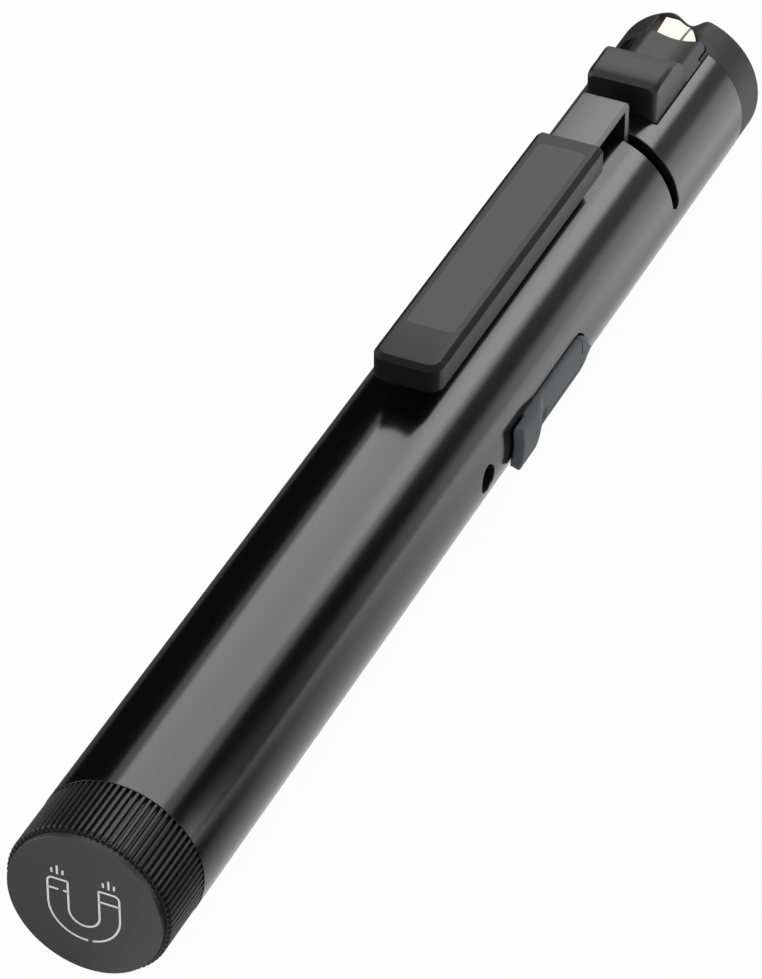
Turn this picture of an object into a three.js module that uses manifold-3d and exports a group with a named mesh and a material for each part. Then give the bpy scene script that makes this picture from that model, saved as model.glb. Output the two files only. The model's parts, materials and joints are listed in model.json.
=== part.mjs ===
// Pen-size UV flashlight with a swivel pocket clip, a thumb button, a charging port and a magnetic tail.
// Millimetres, +Z up. The torch lies along +Y: tail face at y = 0, head at +Y, pocket clip on top (+Z).
import * as THREE from 'three'
import { mergeVertices } from 'three/addons/utils/BufferGeometryUtils.js'
import Module from 'manifold-3d'

const wasm = await Module()
wasm.setup()

// Clearances
const SEAT_GAP = 0.3
const FIT_GAP = 0.15
const TOUCH_GAP = 0.1

// Body tube
const BODY_RADIUS = 8
const WALL = 0.9
const BORE_RADIUS = BODY_RADIUS - WALL
const SEGMENTS = 48
const INNER_SEGMENTS = 32

// Tail cap, face plate and magnet
const FACE_INSET = 0.53
const FACE_RADIUS = BODY_RADIUS - FACE_INSET
const FACE_THICKNESS = 0.75
const FACE_CHAMFER = 0.15
const KNURL_LENGTH = 6.4
const KNURL_RIBS = 80
const KNURL_DEPTH = 0.42
const KNURL_RADIUS = BODY_RADIUS - 0.05
const KNURL_START = FACE_THICKNESS
const KNURL_END = KNURL_START + KNURL_LENGTH
const PLUG_LENGTH = 4.85
const PLUG_END = KNURL_END + PLUG_LENGTH
const PLUG_RADIUS = BORE_RADIUS - SEAT_GAP - TOUCH_GAP
const PLUG_WALL = 1.5
const MAGNET_RADIUS = 5.4
const MAGNET_THICKNESS = 3.7
const MAGNET_END = KNURL_START + FIT_GAP + MAGNET_THICKNESS
const CAP_WEB = 1
const CONTACT_FLOOR = MAGNET_END + CAP_WEB
const RING_SECTION = 0.45
const RING_FROM_KNURL = 1.45
const GROOVE_DEPTH = 0.6

// Tail contact and spring
const TAIL_CONTACT_THICKNESS = 1
const TAIL_CONTACT_RADIUS = PLUG_RADIUS - PLUG_WALL - FIT_GAP
const TAIL_CONTACT_END = CONTACT_FLOOR + TOUCH_GAP + TAIL_CONTACT_THICKNESS
const SPRING_RADIUS = 3
const SPRING_WIRE = 0.5
const SPRING_TURNS = 4

// Battery cell and its sleeve
const CELL_GAP = 0.9
const CELL_START = PLUG_END + CELL_GAP
const CELL_LENGTH = 50
const CELL_BUTTON_LENGTH = 1
const CELL_BUTTON_RADIUS = 2.2
const SLEEVE_WALL = 0.3
const SLEEVE_RADIUS = BORE_RADIUS - FIT_GAP
const CELL_RADIUS = SLEEVE_RADIUS - SLEEVE_WALL - FIT_GAP
const CELL_END = CELL_START + CELL_LENGTH
const CONTACT_STUD_LENGTH = 0.25
const CONTACT_STUD_RADIUS = 1.8
const CONTACT_BOARD_THICKNESS = 1
const CONTACT_BOARD_START = CELL_END + TOUCH_GAP + CONTACT_STUD_LENGTH
const CONTACT_BOARD_END = CONTACT_BOARD_START + CONTACT_BOARD_THICKNESS

// Charger board, receptacle, port cover and charge light, measured outward from the axis
const PORT_ANGLE = 94.5
const CHARGER_START = CONTACT_BOARD_END + SEAT_GAP
const CHARGER_LENGTH = 33.8
const CHARGER_END = CHARGER_START + CHARGER_LENGTH
const CHARGER_THICKNESS = 1
const CHARGER_HEIGHT = 1.3
const CHARGER_HALF_WIDTH = Math.sqrt((BORE_RADIUS - SEAT_GAP) ** 2 - CHARGER_HEIGHT ** 2)
const PORT_FROM_CHARGER = 20
const PORT_Y = CHARGER_START + PORT_FROM_CHARGER
const PORT_LENGTH = 9
const PORT_WIDTH = 3.3
const PORT_SHELL = 0.3
const PORT_SETBACK = 0.4
const PORT_BACK = 0.8
const PORT_MOUTH = BORE_RADIUS - PORT_SETBACK
const PORT_DEPTH = PORT_MOUTH - CHARGER_HEIGHT - PORT_BACK
const PORT_TONGUE_LENGTH = 6.6
const PORT_TONGUE_THICKNESS = 0.7
const PORT_TONGUE_SETBACK = 1
const PORT_TONGUE_REACH = PORT_DEPTH - PORT_TONGUE_SETBACK
const COVER_HALF_WIDTH = 2.2
const COVER_TAIL_REACH = 7.15
const COVER_HINGE_REACH = 6.25
const COVER_HEAD_REACH = 7.9
const COVER_TAIL = PORT_Y - COVER_TAIL_REACH
const COVER_HINGE = PORT_Y + COVER_HINGE_REACH
const COVER_HEAD = PORT_Y + COVER_HEAD_REACH
const COVER_CORNER = 1.6
const COVER_RISE = 0.5
const COVER_INNER = BORE_RADIUS + 0.25
const TAB_THICKNESS = 0.75
const TAB_LENGTH = 2.85
const TAB_FLAT = 4.1
const TAB_RAMP = 2.4
const COVER_PLUG_DEPTH = 0.7
const LIGHT_ANGLE = 91
const LIGHT_FROM_CHARGER = 4.35
const LIGHT_Y = CHARGER_START + LIGHT_FROM_CHARGER
const LIGHT_HOLE_RADIUS = 1.45
const LIGHT_SINK = 1
const LIGHT_COUNTERSINK = 0.25

// Clip core, ring and leaf
const LEAD_BAY = 10.85
const CORE_START = CHARGER_END + LEAD_BAY
const CORE_FLANGE = 3.9
const CORE_WALL = 1.45
const CLIP_RING_WALL = 1.85
const CLIP_RING_RADIUS = BORE_RADIUS - SEAT_GAP
const CORE_RADIUS = CLIP_RING_RADIUS - CLIP_RING_WALL - SEAT_GAP
const CORE_BORE = CORE_RADIUS - CORE_WALL
const CLIP_RING_START = CORE_START + CORE_FLANGE + SEAT_GAP
const CLIP_RING_LENGTH = 6.2
const CLIP_RING_END = CLIP_RING_START + CLIP_RING_LENGTH
const CIRCLIP_THICKNESS = 0.5
const CIRCLIP_START = CLIP_RING_END + 0.2
const CIRCLIP_RADIUS = CORE_RADIUS + 0.8
const CIRCLIP_GROOVE = 0.4
const CIRCLIP_OPENING = 60
const CORE_END = CIRCLIP_START + CIRCLIP_THICKNESS + 0.2
const LEG_Y = (CLIP_RING_START + CLIP_RING_END) / 2
const LEAF_THICKNESS = 1
const LEAF_HALF_WIDTH = 2.35
const LEAF_LIFT = 2.9
const LEAF_BEND = 0.3
const LEG_DEPTH = 1
const LEG_PLAY = 0.2
const SLOT_WIDTH = 1.55
const SLOT_ANGLE = 81
const PAD_FROM_LEG = 9.25
const PAD_LENGTH = 40.25
const PAD_HALF_WIDTH = 3.57
const PAD_LIFT = 1.55
const PAD_THICKNESS = 3
const PAD_CHAMFER = 0.45
const PAD_TIP_RADIUS = 1.4
const PAD_HOLD = 15
const INLAY_HALF_WIDTH = 2.65
const INLAY_DEPTH = 0.4
const INLAY_FROM_TIP = 5.85
const INLAY_FROM_FRONT = 1.65
const INLAY_CORNER = 0.8

// Button tongue with its thumb block
const TONGUE_REAR = CLIP_RING_END + 0.9
const TONGUE_LENGTH = 14.25
const TONGUE_NOSE = 1.18
const TONGUE_HALF_WIDTH = 3.85
const TONGUE_THICKNESS = 2.4
const TONGUE_BOTTOM = BODY_RADIUS - TONGUE_THICKNESS
const TONGUE_NECK_HALF = 3.45
const TONGUE_NECK_LENGTH = 1.75
const TONGUE_CORNER = 1.2
const TROUGH_DEPTH = 1
const TROUGH_RADIUS = 6
const BLOCK_RISE = 3.5
const BLOCK_CHAMFER = 0.42
const BLOCK_BEVEL = 1.05
const BLOCK_FLAT = 3.7
const BLOCK_NOSE = 8.7
const BLOCK_CORNER = 0.6

// Barrel ends at the bezel
const BARREL_START = KNURL_END + FIT_GAP
const BARREL_END = TONGUE_REAR + TONGUE_LENGTH

// Bezel, lens and side light window
const BEZEL_LENGTH = 5
const BEZEL_RADIUS = BODY_RADIUS - 0.05
const BEZEL_EDGE = 0.5
const FRONT = BARREL_END + BEZEL_LENGTH
const SPIGOT_LENGTH = 4.25
const SPIGOT_RADIUS = BORE_RADIUS - SEAT_GAP
const SPIGOT_START = BARREL_END - SPIGOT_LENGTH
const WINDOW_RECESS = 1.25
const WINDOW_TOP = BODY_RADIUS - WINDOW_RECESS
const WINDOW_THICKNESS = 0.7
const WINDOW_HALF_WIDTH = 2.5
const WINDOW_BOARD_THICKNESS = 0.25
const POCKET_FLOOR = WINDOW_TOP - WINDOW_THICKNESS - WINDOW_BOARD_THICKNESS
const POCKET_WALL = 0.45
const LENS_BORE = POCKET_FLOOR - POCKET_WALL
const LENS_RADIUS = LENS_BORE - FIT_GAP
const LENS_THICKNESS = 1.2
const LENS_LIP = 1.1
const LIP_WIDTH = 0.5
const GASKET_THICKNESS = 0.4
const LENS_END = FRONT - LENS_LIP - GASKET_THICKNESS
const LENS_START = LENS_END - LENS_THICKNESS
const RIM_WALL = 0.4
const SCALLOP_RADIUS = 1.8
const SCALLOP_DEPTH = 1.5
const WINDOW_START = BARREL_END + TONGUE_NOSE + FIT_GAP
const WINDOW_END = FRONT - RIM_WALL - FIT_GAP

// Heat sink, lamp and switch under the tongue
const SINK_START = TONGUE_REAR + 0.5
const SINK_END = SPIGOT_START - TOUCH_GAP
const SINK_RADIUS = BORE_RADIUS - SEAT_GAP
const SINK_TOP = TONGUE_BOTTOM - 0.8
const DRIVER_LENGTH = 5.2
const DRIVER_HALF_WIDTH = 5.5
const DRIVER_THICKNESS = 1
const SWITCH_HEIGHT = 1.7
const SWITCH_SIDE = 4.2
const PLUNGER_RADIUS = 1
const PLUNGER_TRAVEL = 0.6
const PLUNGER_SHOW = 1.2
const SWITCH_TOP = TONGUE_BOTTOM - TOUCH_GAP - PLUNGER_SHOW
const LEDGE_Z = SWITCH_TOP - SWITCH_HEIGHT - DRIVER_THICKNESS
const DRIVER_START = SINK_START + SEAT_GAP
const DRIVER_END = DRIVER_START + DRIVER_LENGTH
const DRIVER_Y = (DRIVER_START + DRIVER_END) / 2
const SCREW_RADIUS = 0.6
const SCREW_HEAD_RADIUS = 1.05
const SCREW_HEAD_HEIGHT = 0.7
const SCREW_DEPTH = 3
const SCREW_X = 4.1
const LED_BOARD_THICKNESS = 1
const LED_BOARD_END = SINK_END + LED_BOARD_THICKNESS
const LED_SIDE = 3.5
const LED_BASE = 0.6
const LED_DOME = 1.3
const REFLECTOR_WALL = 0.5
const REFLECTOR_BACK = 1.8
const LEAD_RADIUS = 0.5
const LEAD_SPREAD = 1.5

// Geometry helpers

// Joins equal corners and drops triangles that have no area.
function weld(geometry) {
  const bare = geometry.clone()
  bare.deleteAttribute('normal')
  bare.deleteAttribute('uv')
  const merged = mergeVertices(bare, 1e-4)
  const corners = merged.index.array
  const kept = []
  for (let i = 0; i < corners.length; i += 3) {
    const [a, b, c] = [corners[i], corners[i + 1], corners[i + 2]]
    if (a !== b && b !== c && c !== a) kept.push(a, b, c)
  }
  merged.setIndex(kept)
  return merged
}

function toSolid(geometry) {
  const merged = weld(geometry)
  const mesh = new wasm.Mesh({
    numProp: 3,
    vertProperties: new Float32Array(merged.attributes.position.array),
    triVerts: new Uint32Array(merged.index.array)
  })
  return new wasm.Manifold(mesh)
}

function toGeometry(solid) {
  const mesh = solid.getMesh()
  const geometry = new THREE.BufferGeometry()
  geometry.setAttribute('position', new THREE.BufferAttribute(mesh.vertProperties, 3))
  geometry.setIndex(new THREE.BufferAttribute(mesh.triVerts, 1))
  return geometry
}

function cut(base, ...tools) {
  return tools.reduce((left, tool) => left.subtract(tool), base)
}

function join(base, ...others) {
  return others.reduce((left, other) => left.add(other), base)
}

// Revolves a list of [radius, y] round the torch axis. A list that starts off the axis is closed on itself.
function turn(profile, segments = SEGMENTS) {
  const points = profile.map(([radius, y]) => new THREE.Vector2(radius, y))
  if (profile[0][0] > 0) points.push(points[0].clone())
  return new THREE.LatheGeometry(points, segments, Math.PI / segments)
}

function cylinderY(radius, y0, y1, segments = SEGMENTS) {
  return turn([[0, y0], [radius, y0], [radius, y1], [0, y1]], segments)
}

function tubeY(inner, outer, y0, y1, segments = SEGMENTS) {
  return turn([[inner, y0], [outer, y0], [outer, y1], [inner, y1]], segments)
}

function box(x0, x1, y0, y1, z0, z1) {
  const geometry = new THREE.BoxGeometry(x1 - x0, y1 - y0, z1 - z0)
  return geometry.translate((x0 + x1) / 2, (y0 + y1) / 2, (z0 + z1) / 2)
}

function polygon(points) {
  return new THREE.Shape(points.map(([u, v]) => new THREE.Vector2(u, v)))
}

// Rectangle with one corner radius at its low-v end and another at its high-v end.
function roundedRect(u0, u1, v0, v1, lowRadius, highRadius) {
  const shape = new THREE.Shape()
  shape.moveTo(u0 + lowRadius, v0)
  shape.lineTo(u1 - lowRadius, v0)
  shape.absarc(u1 - lowRadius, v0 + lowRadius, lowRadius, -Math.PI / 2, 0)
  shape.lineTo(u1, v1 - highRadius)
  shape.absarc(u1 - highRadius, v1 - highRadius, highRadius, 0, Math.PI / 2)
  shape.lineTo(u0 + highRadius, v1)
  shape.absarc(u0 + highRadius, v1 - highRadius, highRadius, Math.PI / 2, Math.PI)
  shape.lineTo(u0, v0 + lowRadius)
  shape.absarc(u0 + lowRadius, v0 + lowRadius, lowRadius, Math.PI, Math.PI * 1.5)
  return shape
}

function extrude(shape, depth, u, v, w) {
  const options = { depth, bevelEnabled: false, curveSegments: 6 }
  const geometry = new THREE.ExtrudeGeometry(shape, options)
  return geometry.applyMatrix4(new THREE.Matrix4().makeBasis(u, v, w))
}

const X = new THREE.Vector3(1, 0, 0)
const Y = new THREE.Vector3(0, 1, 0)
const Z = new THREE.Vector3(0, 0, 1)

// Extrudes a shape drawn in (y, z) from x0 to x1.
function alongX(shape, x0, x1) {
  return extrude(shape, x1 - x0, Y, Z, X).translate(x0, 0, 0)
}

// Extrudes a shape drawn in (z, y) from x0 to x1.
function outwardX(shape, x0, x1) {
  return extrude(shape, x1 - x0, Z, Y, X.clone().negate()).translate(x1, 0, 0)
}

// Extrudes a shape drawn in (x, z) from y0 to y1.
function alongY(shape, y0, y1) {
  return extrude(shape, y1 - y0, X, Z, Y.clone().negate()).translate(0, y1, 0)
}

// Extrudes a shape drawn in (x, y) from z0 to z1.
function alongZ(shape, z0, z1) {
  return extrude(shape, z1 - z0, X, Y, Z).translate(0, 0, z0)
}

// Turns what is drawn along +X to an angle counted from the clip side (+Z) towards +X.
function toAngle(geometry, degrees) {
  return geometry.rotateY(THREE.MathUtils.degToRad(degrees - 90))
}

function cylinderX(radius, x0, x1, y, segments = 24) {
  const geometry = new THREE.CylinderGeometry(radius, radius, x1 - x0, segments)
  return geometry.rotateZ(-Math.PI / 2).translate((x0 + x1) / 2, y, 0)
}

function cylinderZ(radius, x, y, z0, z1, segments = 20) {
  const geometry = new THREE.CylinderGeometry(radius, radius, z1 - z0, segments)
  return geometry.rotateX(Math.PI / 2).translate(x, y, (z0 + z1) / 2)
}

// Materials
function finish(color, roughness, metalness) {
  return new THREE.MeshStandardMaterial({ color, roughness, metalness })
}

const anodised = finish(0x1c1d1e, 0.38, 0.6)
const charcoal = finish(0x2c2c2d, 0.6, 0)
const padPlastic = finish(0x272728, 0.55, 0)
const inlayPlastic = finish(0x303031, 0.6, 0)
const facePlastic = finish(0x3b3b3b, 0.65, 0)
const springSteel = finish(0x85888b, 0.35, 0.9)
const steel = finish(0xb8bbbe, 0.3, 1)
const coverRubber = finish(0x2c3234, 0.75, 0)
const sealRubber = finish(0x161616, 0.8, 0)
const glass = finish(0xdfe6f2, 0.05, 0)
const litWindow = finish(0xfbffe6, 0.3, 0)
const mirror = finish(0xd9dcdf, 0.1, 1)
const aluminium = finish(0xa9adb0, 0.4, 0.9)
const board = finish(0x1f4a33, 0.6, 0)
const whiteBoard = finish(0xe4e4dc, 0.6, 0)
const ledBody = finish(0xdfe0ea, 0.4, 0)
const cellWrap = finish(0x35588a, 0.45, 0.2)
const sleevePlastic = finish(0xe8e4d8, 0.5, 0)
const blackPlastic = finish(0x18181a, 0.5, 0)
const redWire = finish(0xb3261e, 0.5, 0)
const blackWire = finish(0x202020, 0.5, 0)
const nickel = finish(0xc3c4c0, 0.25, 1)

const torch = new THREE.Group()
const portSide = new THREE.Group()
portSide.rotation.y = THREE.MathUtils.degToRad(PORT_ANGLE - 90)
const lightSide = new THREE.Group()
lightSide.rotation.y = THREE.MathUtils.degToRad(LIGHT_ANGLE - 90)
torch.add(portSide, lightSide)

function add(name, shape, material, group = torch) {
  const geometry = shape.isBufferGeometry ? weld(shape) : toGeometry(shape)
  const mesh = new THREE.Mesh(geometry, material)
  mesh.name = name
  group.add(mesh)
}

// Barrel: tube with the tongue slot, the clip's arc slot, the port window and the charge light hole.
function arcSlot(width, angle, y) {
  const reach = BODY_RADIUS * 1.5
  const fan = [[0, 0]]
  const steps = 24
  for (let i = 0; i <= steps; i++) {
    const turned = THREE.MathUtils.degToRad(-angle + (2 * angle * i) / steps)
    fan.push([reach * Math.sin(turned), reach * Math.cos(turned)])
  }
  const sweep = toSolid(alongY(polygon(fan.reverse()), y - width / 2, y + width / 2))
  const ends = [-angle, angle].map((end) => {
    return toSolid(toAngle(cylinderX(width / 2, BORE_RADIUS / 2, reach, y), end))
  })
  return join(sweep, ...ends)
}

function coverWindow(gap) {
  const tail = COVER_TAIL - gap
  const head = COVER_HEAD + gap
  const half = COVER_HALF_WIDTH + gap
  const outline = roundedRect(-half, half, tail, head, COVER_CORNER, COVER_CORNER)
  return outwardX(outline, BORE_RADIUS / 2, BODY_RADIUS + 1)
}

function lightHole() {
  const bore = cylinderX(LIGHT_HOLE_RADIUS, BORE_RADIUS / 2, BODY_RADIUS + 1, LIGHT_Y)
  const wide = LIGHT_HOLE_RADIUS + 2 * LIGHT_COUNTERSINK
  const sink = new THREE.CylinderGeometry(wide, LIGHT_HOLE_RADIUS, 2 * LIGHT_COUNTERSINK, 24)
  sink.rotateZ(-Math.PI / 2).translate(BODY_RADIUS, LIGHT_Y, 0)
  return join(toSolid(toAngle(bore, LIGHT_ANGLE)), toSolid(toAngle(sink, LIGHT_ANGLE)))
}

function makeBarrel() {
  const tube = toSolid(tubeY(BORE_RADIUS, BODY_RADIUS, BARREL_START, BARREL_END))
  const half = TONGUE_HALF_WIDTH + FIT_GAP
  const low = BODY_RADIUS / 3
  const tongueSlot = toSolid(box(-half, half, TONGUE_REAR - FIT_GAP, FRONT, low, BODY_RADIUS + 1))
  const port = toSolid(toAngle(coverWindow(FIT_GAP), PORT_ANGLE))
  return cut(tube, tongueSlot, arcSlot(SLOT_WIDTH, SLOT_ANGLE, LEG_Y), port, lightHole())
}
add('barrel', makeBarrel(), anodised)

// Tail cap: ribbed ring with a magnet pocket at the back and a plug that goes into the barrel.
function knurlShape() {
  const root = KNURL_RADIUS - KNURL_DEPTH
  const pitch = (2 * Math.PI) / KNURL_RIBS
  const rib = [[-0.32, root], [-0.16, KNURL_RADIUS], [0.16, KNURL_RADIUS], [0.32, root]]
  const points = []
  for (let i = 0; i < KNURL_RIBS; i++) {
    for (const [share, radius] of rib) {
      const angle = (i + share) * pitch
      points.push([radius * Math.cos(angle), radius * Math.sin(angle)])
    }
  }
  return polygon(points)
}

function makeTailCap() {
  const ribs = toSolid(alongY(knurlShape(), KNURL_START, KNURL_END))
  const groove = PLUG_RADIUS - GROOVE_DEPTH
  const ringY = KNURL_END + RING_FROM_KNURL
  const grooveHalf = RING_SECTION + TOUCH_GAP
  const plug = toSolid(turn([
    [0, KNURL_START + 1], [PLUG_RADIUS, KNURL_START + 1],
    [PLUG_RADIUS, ringY - grooveHalf], [groove, ringY - grooveHalf],
    [groove, ringY + grooveHalf], [PLUG_RADIUS, ringY + grooveHalf],
    [PLUG_RADIUS, PLUG_END], [0, PLUG_END]
  ]))
  const magnetPocket = toSolid(cylinderY(MAGNET_RADIUS + FIT_GAP, KNURL_START - 1, MAGNET_END))
  const contactBore = toSolid(cylinderY(PLUG_RADIUS - PLUG_WALL, CONTACT_FLOOR, PLUG_END + 1))
  return cut(join(ribs, plug), magnetPocket, contactBore)
}
add('tail_cap', makeTailCap(), anodised)

const facePlate = turn([
  [0, 0], [FACE_RADIUS - FACE_CHAMFER, 0], [FACE_RADIUS, FACE_CHAMFER],
  [FACE_RADIUS, FACE_THICKNESS], [0, FACE_THICKNESS]
])
add('tail_face_plate', facePlate, facePlastic)
add('tail_magnet', cylinderY(MAGNET_RADIUS, MAGNET_END - MAGNET_THICKNESS, MAGNET_END), nickel)

function makeSealRing() {
  const centre = PLUG_RADIUS - GROOVE_DEPTH + RING_SECTION + 0.05
  const ringY = KNURL_END + RING_FROM_KNURL
  const sides = 6
  const profile = []
  for (let i = 0; i < sides; i++) {
    const angle = (i + 0.5) * ((2 * Math.PI) / sides)
    profile.push([centre + RING_SECTION * Math.cos(angle), ringY + RING_SECTION * Math.sin(angle)])
  }
  return turn(profile, INNER_SEGMENTS)
}
add('tail_o_ring', makeSealRing(), sealRubber)

function makeTailContact() {
  const floor = CONTACT_FLOOR + TOUCH_GAP
  const rim = SPRING_RADIUS + SPRING_WIRE / 2 + FIT_GAP
  return turn([
    [0, floor], [TAIL_CONTACT_RADIUS, floor], [TAIL_CONTACT_RADIUS, TAIL_CONTACT_END + SPRING_WIRE],
    [rim, TAIL_CONTACT_END + SPRING_WIRE], [rim, TAIL_CONTACT_END], [0, TAIL_CONTACT_END]
  ], INNER_SEGMENTS)
}
add('tail_contact', makeTailContact(), nickel)

// Tail spring: one unbroken wire between the tail contact and the cell.
function makeSpring() {
  const stepsPerTurn = 8
  const sides = 5
  const low = TAIL_CONTACT_END + TOUCH_GAP + SPRING_WIRE / 2
  const high = CELL_START - TOUCH_GAP - SPRING_WIRE / 2
  const steps = stepsPerTurn * SPRING_TURNS
  const centres = []
  const corners = []
  for (let i = 0; i <= steps; i++) {
    const angle = (i / stepsPerTurn) * 2 * Math.PI
    const y = low + ((high - low) * i) / steps
    const outward = new THREE.Vector3(Math.cos(angle), 0, Math.sin(angle))
    const centre = outward.clone().multiplyScalar(SPRING_RADIUS).setY(y)
    centres.push(centre)
    for (let k = 0; k < sides; k++) {
      const roll = (k / sides) * 2 * Math.PI
      const corner = centre.clone().addScaledVector(outward, (SPRING_WIRE / 2) * Math.cos(roll))
      corner.y += (SPRING_WIRE / 2) * Math.sin(roll)
      corners.push(corner.x, corner.y, corner.z)
    }
  }
  const faces = []
  for (let i = 0; i < steps; i++) {
    for (let k = 0; k < sides; k++) {
      const a = i * sides + k
      const b = i * sides + ((k + 1) % sides)
      faces.push(a, b, a + sides, b, b + sides, a + sides)
    }
  }
  const last = steps * sides
  for (let k = 1; k < sides - 1; k++) {
    faces.push(0, k + 1, k)
    faces.push(last, last + k, last + k + 1)
  }
  const geometry = new THREE.BufferGeometry()
  geometry.setAttribute('position', new THREE.Float32BufferAttribute(corners, 3))
  geometry.setIndex(faces)
  let least = Infinity
  for (let i = 0; i < centres.length; i++) {
    for (let j = i + stepsPerTurn / 2; j < centres.length; j++) {
      least = Math.min(least, centres[i].distanceTo(centres[j]) - SPRING_WIRE)
    }
  }
  console.log('tail_spring least gap to itself', least.toFixed(2), 'mm')
  return geometry
}
add('tail_spring', makeSpring(), steel)

// Battery: cell in an insulating sleeve, with its contact board in front.
function makeCell() {
  const shoulder = CELL_END - CELL_BUTTON_LENGTH
  const bevel = 0.3
  return turn([
    [0, CELL_START], [CELL_RADIUS - bevel, CELL_START], [CELL_RADIUS, CELL_START + bevel],
    [CELL_RADIUS, shoulder - bevel], [CELL_RADIUS - bevel, shoulder],
    [CELL_BUTTON_RADIUS, shoulder], [CELL_BUTTON_RADIUS, CELL_END], [0, CELL_END]
  ], INNER_SEGMENTS)
}
add('battery_cell', makeCell(), cellWrap)

const sleeveStart = PLUG_END + SEAT_GAP
add('battery_sleeve', tubeY(SLEEVE_RADIUS - SLEEVE_WALL, SLEEVE_RADIUS, sleeveStart, CONTACT_BOARD_END),
  sleevePlastic)

const contactRadius = SLEEVE_RADIUS - SLEEVE_WALL - FIT_GAP
const contactBoard = turn([
  [0, CELL_END + TOUCH_GAP], [CONTACT_STUD_RADIUS, CELL_END + TOUCH_GAP],
  [CONTACT_STUD_RADIUS, CONTACT_BOARD_START], [contactRadius, CONTACT_BOARD_START],
  [contactRadius, CONTACT_BOARD_END], [0, CONTACT_BOARD_END]
], INNER_SEGMENTS)
add('battery_contact', contactBoard, board)

// Charger board and USB receptacle, drawn with +X pointing out of the port.
const chargerBack = CHARGER_HEIGHT - CHARGER_THICKNESS
const chargerBoard = box(chargerBack, CHARGER_HEIGHT, CHARGER_START, CHARGER_END,
  -CHARGER_HALF_WIDTH, CHARGER_HALF_WIDTH)
add('charger_board', chargerBoard, board, portSide)

function portOutline(inset) {
  const halfLength = PORT_LENGTH / 2 - inset
  const halfWidth = PORT_WIDTH / 2 - inset
  const corner = halfWidth * 0.8
  return roundedRect(-halfWidth, halfWidth, PORT_Y - halfLength, PORT_Y + halfLength, corner, corner)
}

function makeReceptacle() {
  const shell = toSolid(outwardX(portOutline(0), CHARGER_HEIGHT, PORT_MOUTH))
  const back = PORT_MOUTH - PORT_DEPTH
  const cavity = toSolid(outwardX(portOutline(PORT_SHELL), back, PORT_MOUTH + 1))
  const halfLength = PORT_TONGUE_LENGTH / 2
  const halfThickness = PORT_TONGUE_THICKNESS / 2
  const blade = toSolid(box(back - PORT_SHELL, back + PORT_TONGUE_REACH, PORT_Y - halfLength,
    PORT_Y + halfLength, -halfThickness, halfThickness))
  return join(cut(shell, cavity), blade)
}
add('usb_receptacle', makeReceptacle(), steel, portSide)

const pipeRadius = LIGHT_HOLE_RADIUS - FIT_GAP
const lightPipe = cylinderX(pipeRadius, CHARGER_HEIGHT + SEAT_GAP, BODY_RADIUS - LIGHT_SINK, LIGHT_Y)
add('charge_light_pipe', lightPipe, blackPlastic, lightSide)

// Port cover: a fixed anchor at its head end and a flap with a plug and a pull tab.
function coverBand(outline, inner, outer) {
  const strip = toSolid(outwardX(outline, BORE_RADIUS / 2, BODY_RADIUS * 2))
  const shell = toSolid(tubeY(inner, outer, COVER_TAIL - 2 * TAB_LENGTH, COVER_HEAD + 1))
  return strip.intersect(shell)
}

const coverTop = BODY_RADIUS + COVER_RISE

function makeCoverAnchor() {
  const start = COVER_HINGE + FIT_GAP
  const half = COVER_HALF_WIDTH
  const outline = roundedRect(-half, half, COVER_TAIL, COVER_HEAD, COVER_CORNER, COVER_CORNER)
  const band = coverBand(outline, COVER_INNER, coverTop)
  const headSide = box(0, BODY_RADIUS * 2, start, COVER_HEAD + 1, -2 * half, 2 * half)
  const rounded = band.intersect(toSolid(headSide))
  const reach = Math.sqrt((BORE_RADIUS - SEAT_GAP) ** 2 - (half + 0.6) ** 2)
  const stemEnd = COVER_HEAD - COVER_CORNER / 4
  const stem = toSolid(box(reach - 0.6, COVER_INNER + 0.2, start, stemEnd, -half / 2, half / 2))
  const barb = toSolid(box(reach - 0.6, reach, start, COVER_HEAD + 1, -half - 0.6, half + 0.6))
  return join(rounded, stem, barb)
}
add('port_cover_anchor', makeCoverAnchor(), coverRubber, portSide)

function makeCoverFlap() {
  const half = COVER_HALF_WIDTH
  const outline = roundedRect(-half, half, COVER_TAIL, COVER_HINGE, COVER_CORNER, TOUCH_GAP)
  const band = coverBand(outline, COVER_INNER, coverTop)
  const tabEnd = COVER_TAIL - TAB_LENGTH
  const tabTop = coverTop + TAB_THICKNESS
  const tabOutline = roundedRect(-half, half, tabEnd, COVER_TAIL + TAB_FLAT + TAB_RAMP, 0.5, TOUCH_GAP)
  const tabBand = coverBand(tabOutline, coverTop - 0.05, tabTop)
  const rampStart = tabEnd + TAB_FLAT
  const rampEnd = rampStart + TAB_RAMP
  const side = polygon([
    [tabEnd - 1, BODY_RADIUS / 2], [rampEnd, BODY_RADIUS / 2], [rampEnd, coverTop],
    [rampStart, tabTop], [tabEnd - 1, tabTop]
  ])
  const turned = extrude(side, 4 * half, Y, X, Z.clone().negate()).translate(0, 0, 2 * half)
  const tab = tabBand.intersect(toSolid(turned))
  const plugHalfLength = PORT_LENGTH / 2 - PORT_SHELL - 2 * FIT_GAP
  const plugHalfWidth = PORT_WIDTH / 2 - PORT_SHELL - FIT_GAP
  const plugCorner = plugHalfWidth * 0.7
  const plugTail = PORT_Y - plugHalfLength
  const plugHead = PORT_Y + plugHalfLength
  const plugOutline = roundedRect(-plugHalfWidth, plugHalfWidth, plugTail, plugHead, plugCorner, plugCorner)
  const plug = toSolid(outwardX(plugOutline, PORT_MOUTH - COVER_PLUG_DEPTH, COVER_INNER + 0.2))
  return join(band, tab, plug)
}
add('port_cover_flap', makeCoverFlap(), coverRubber, portSide)

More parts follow.
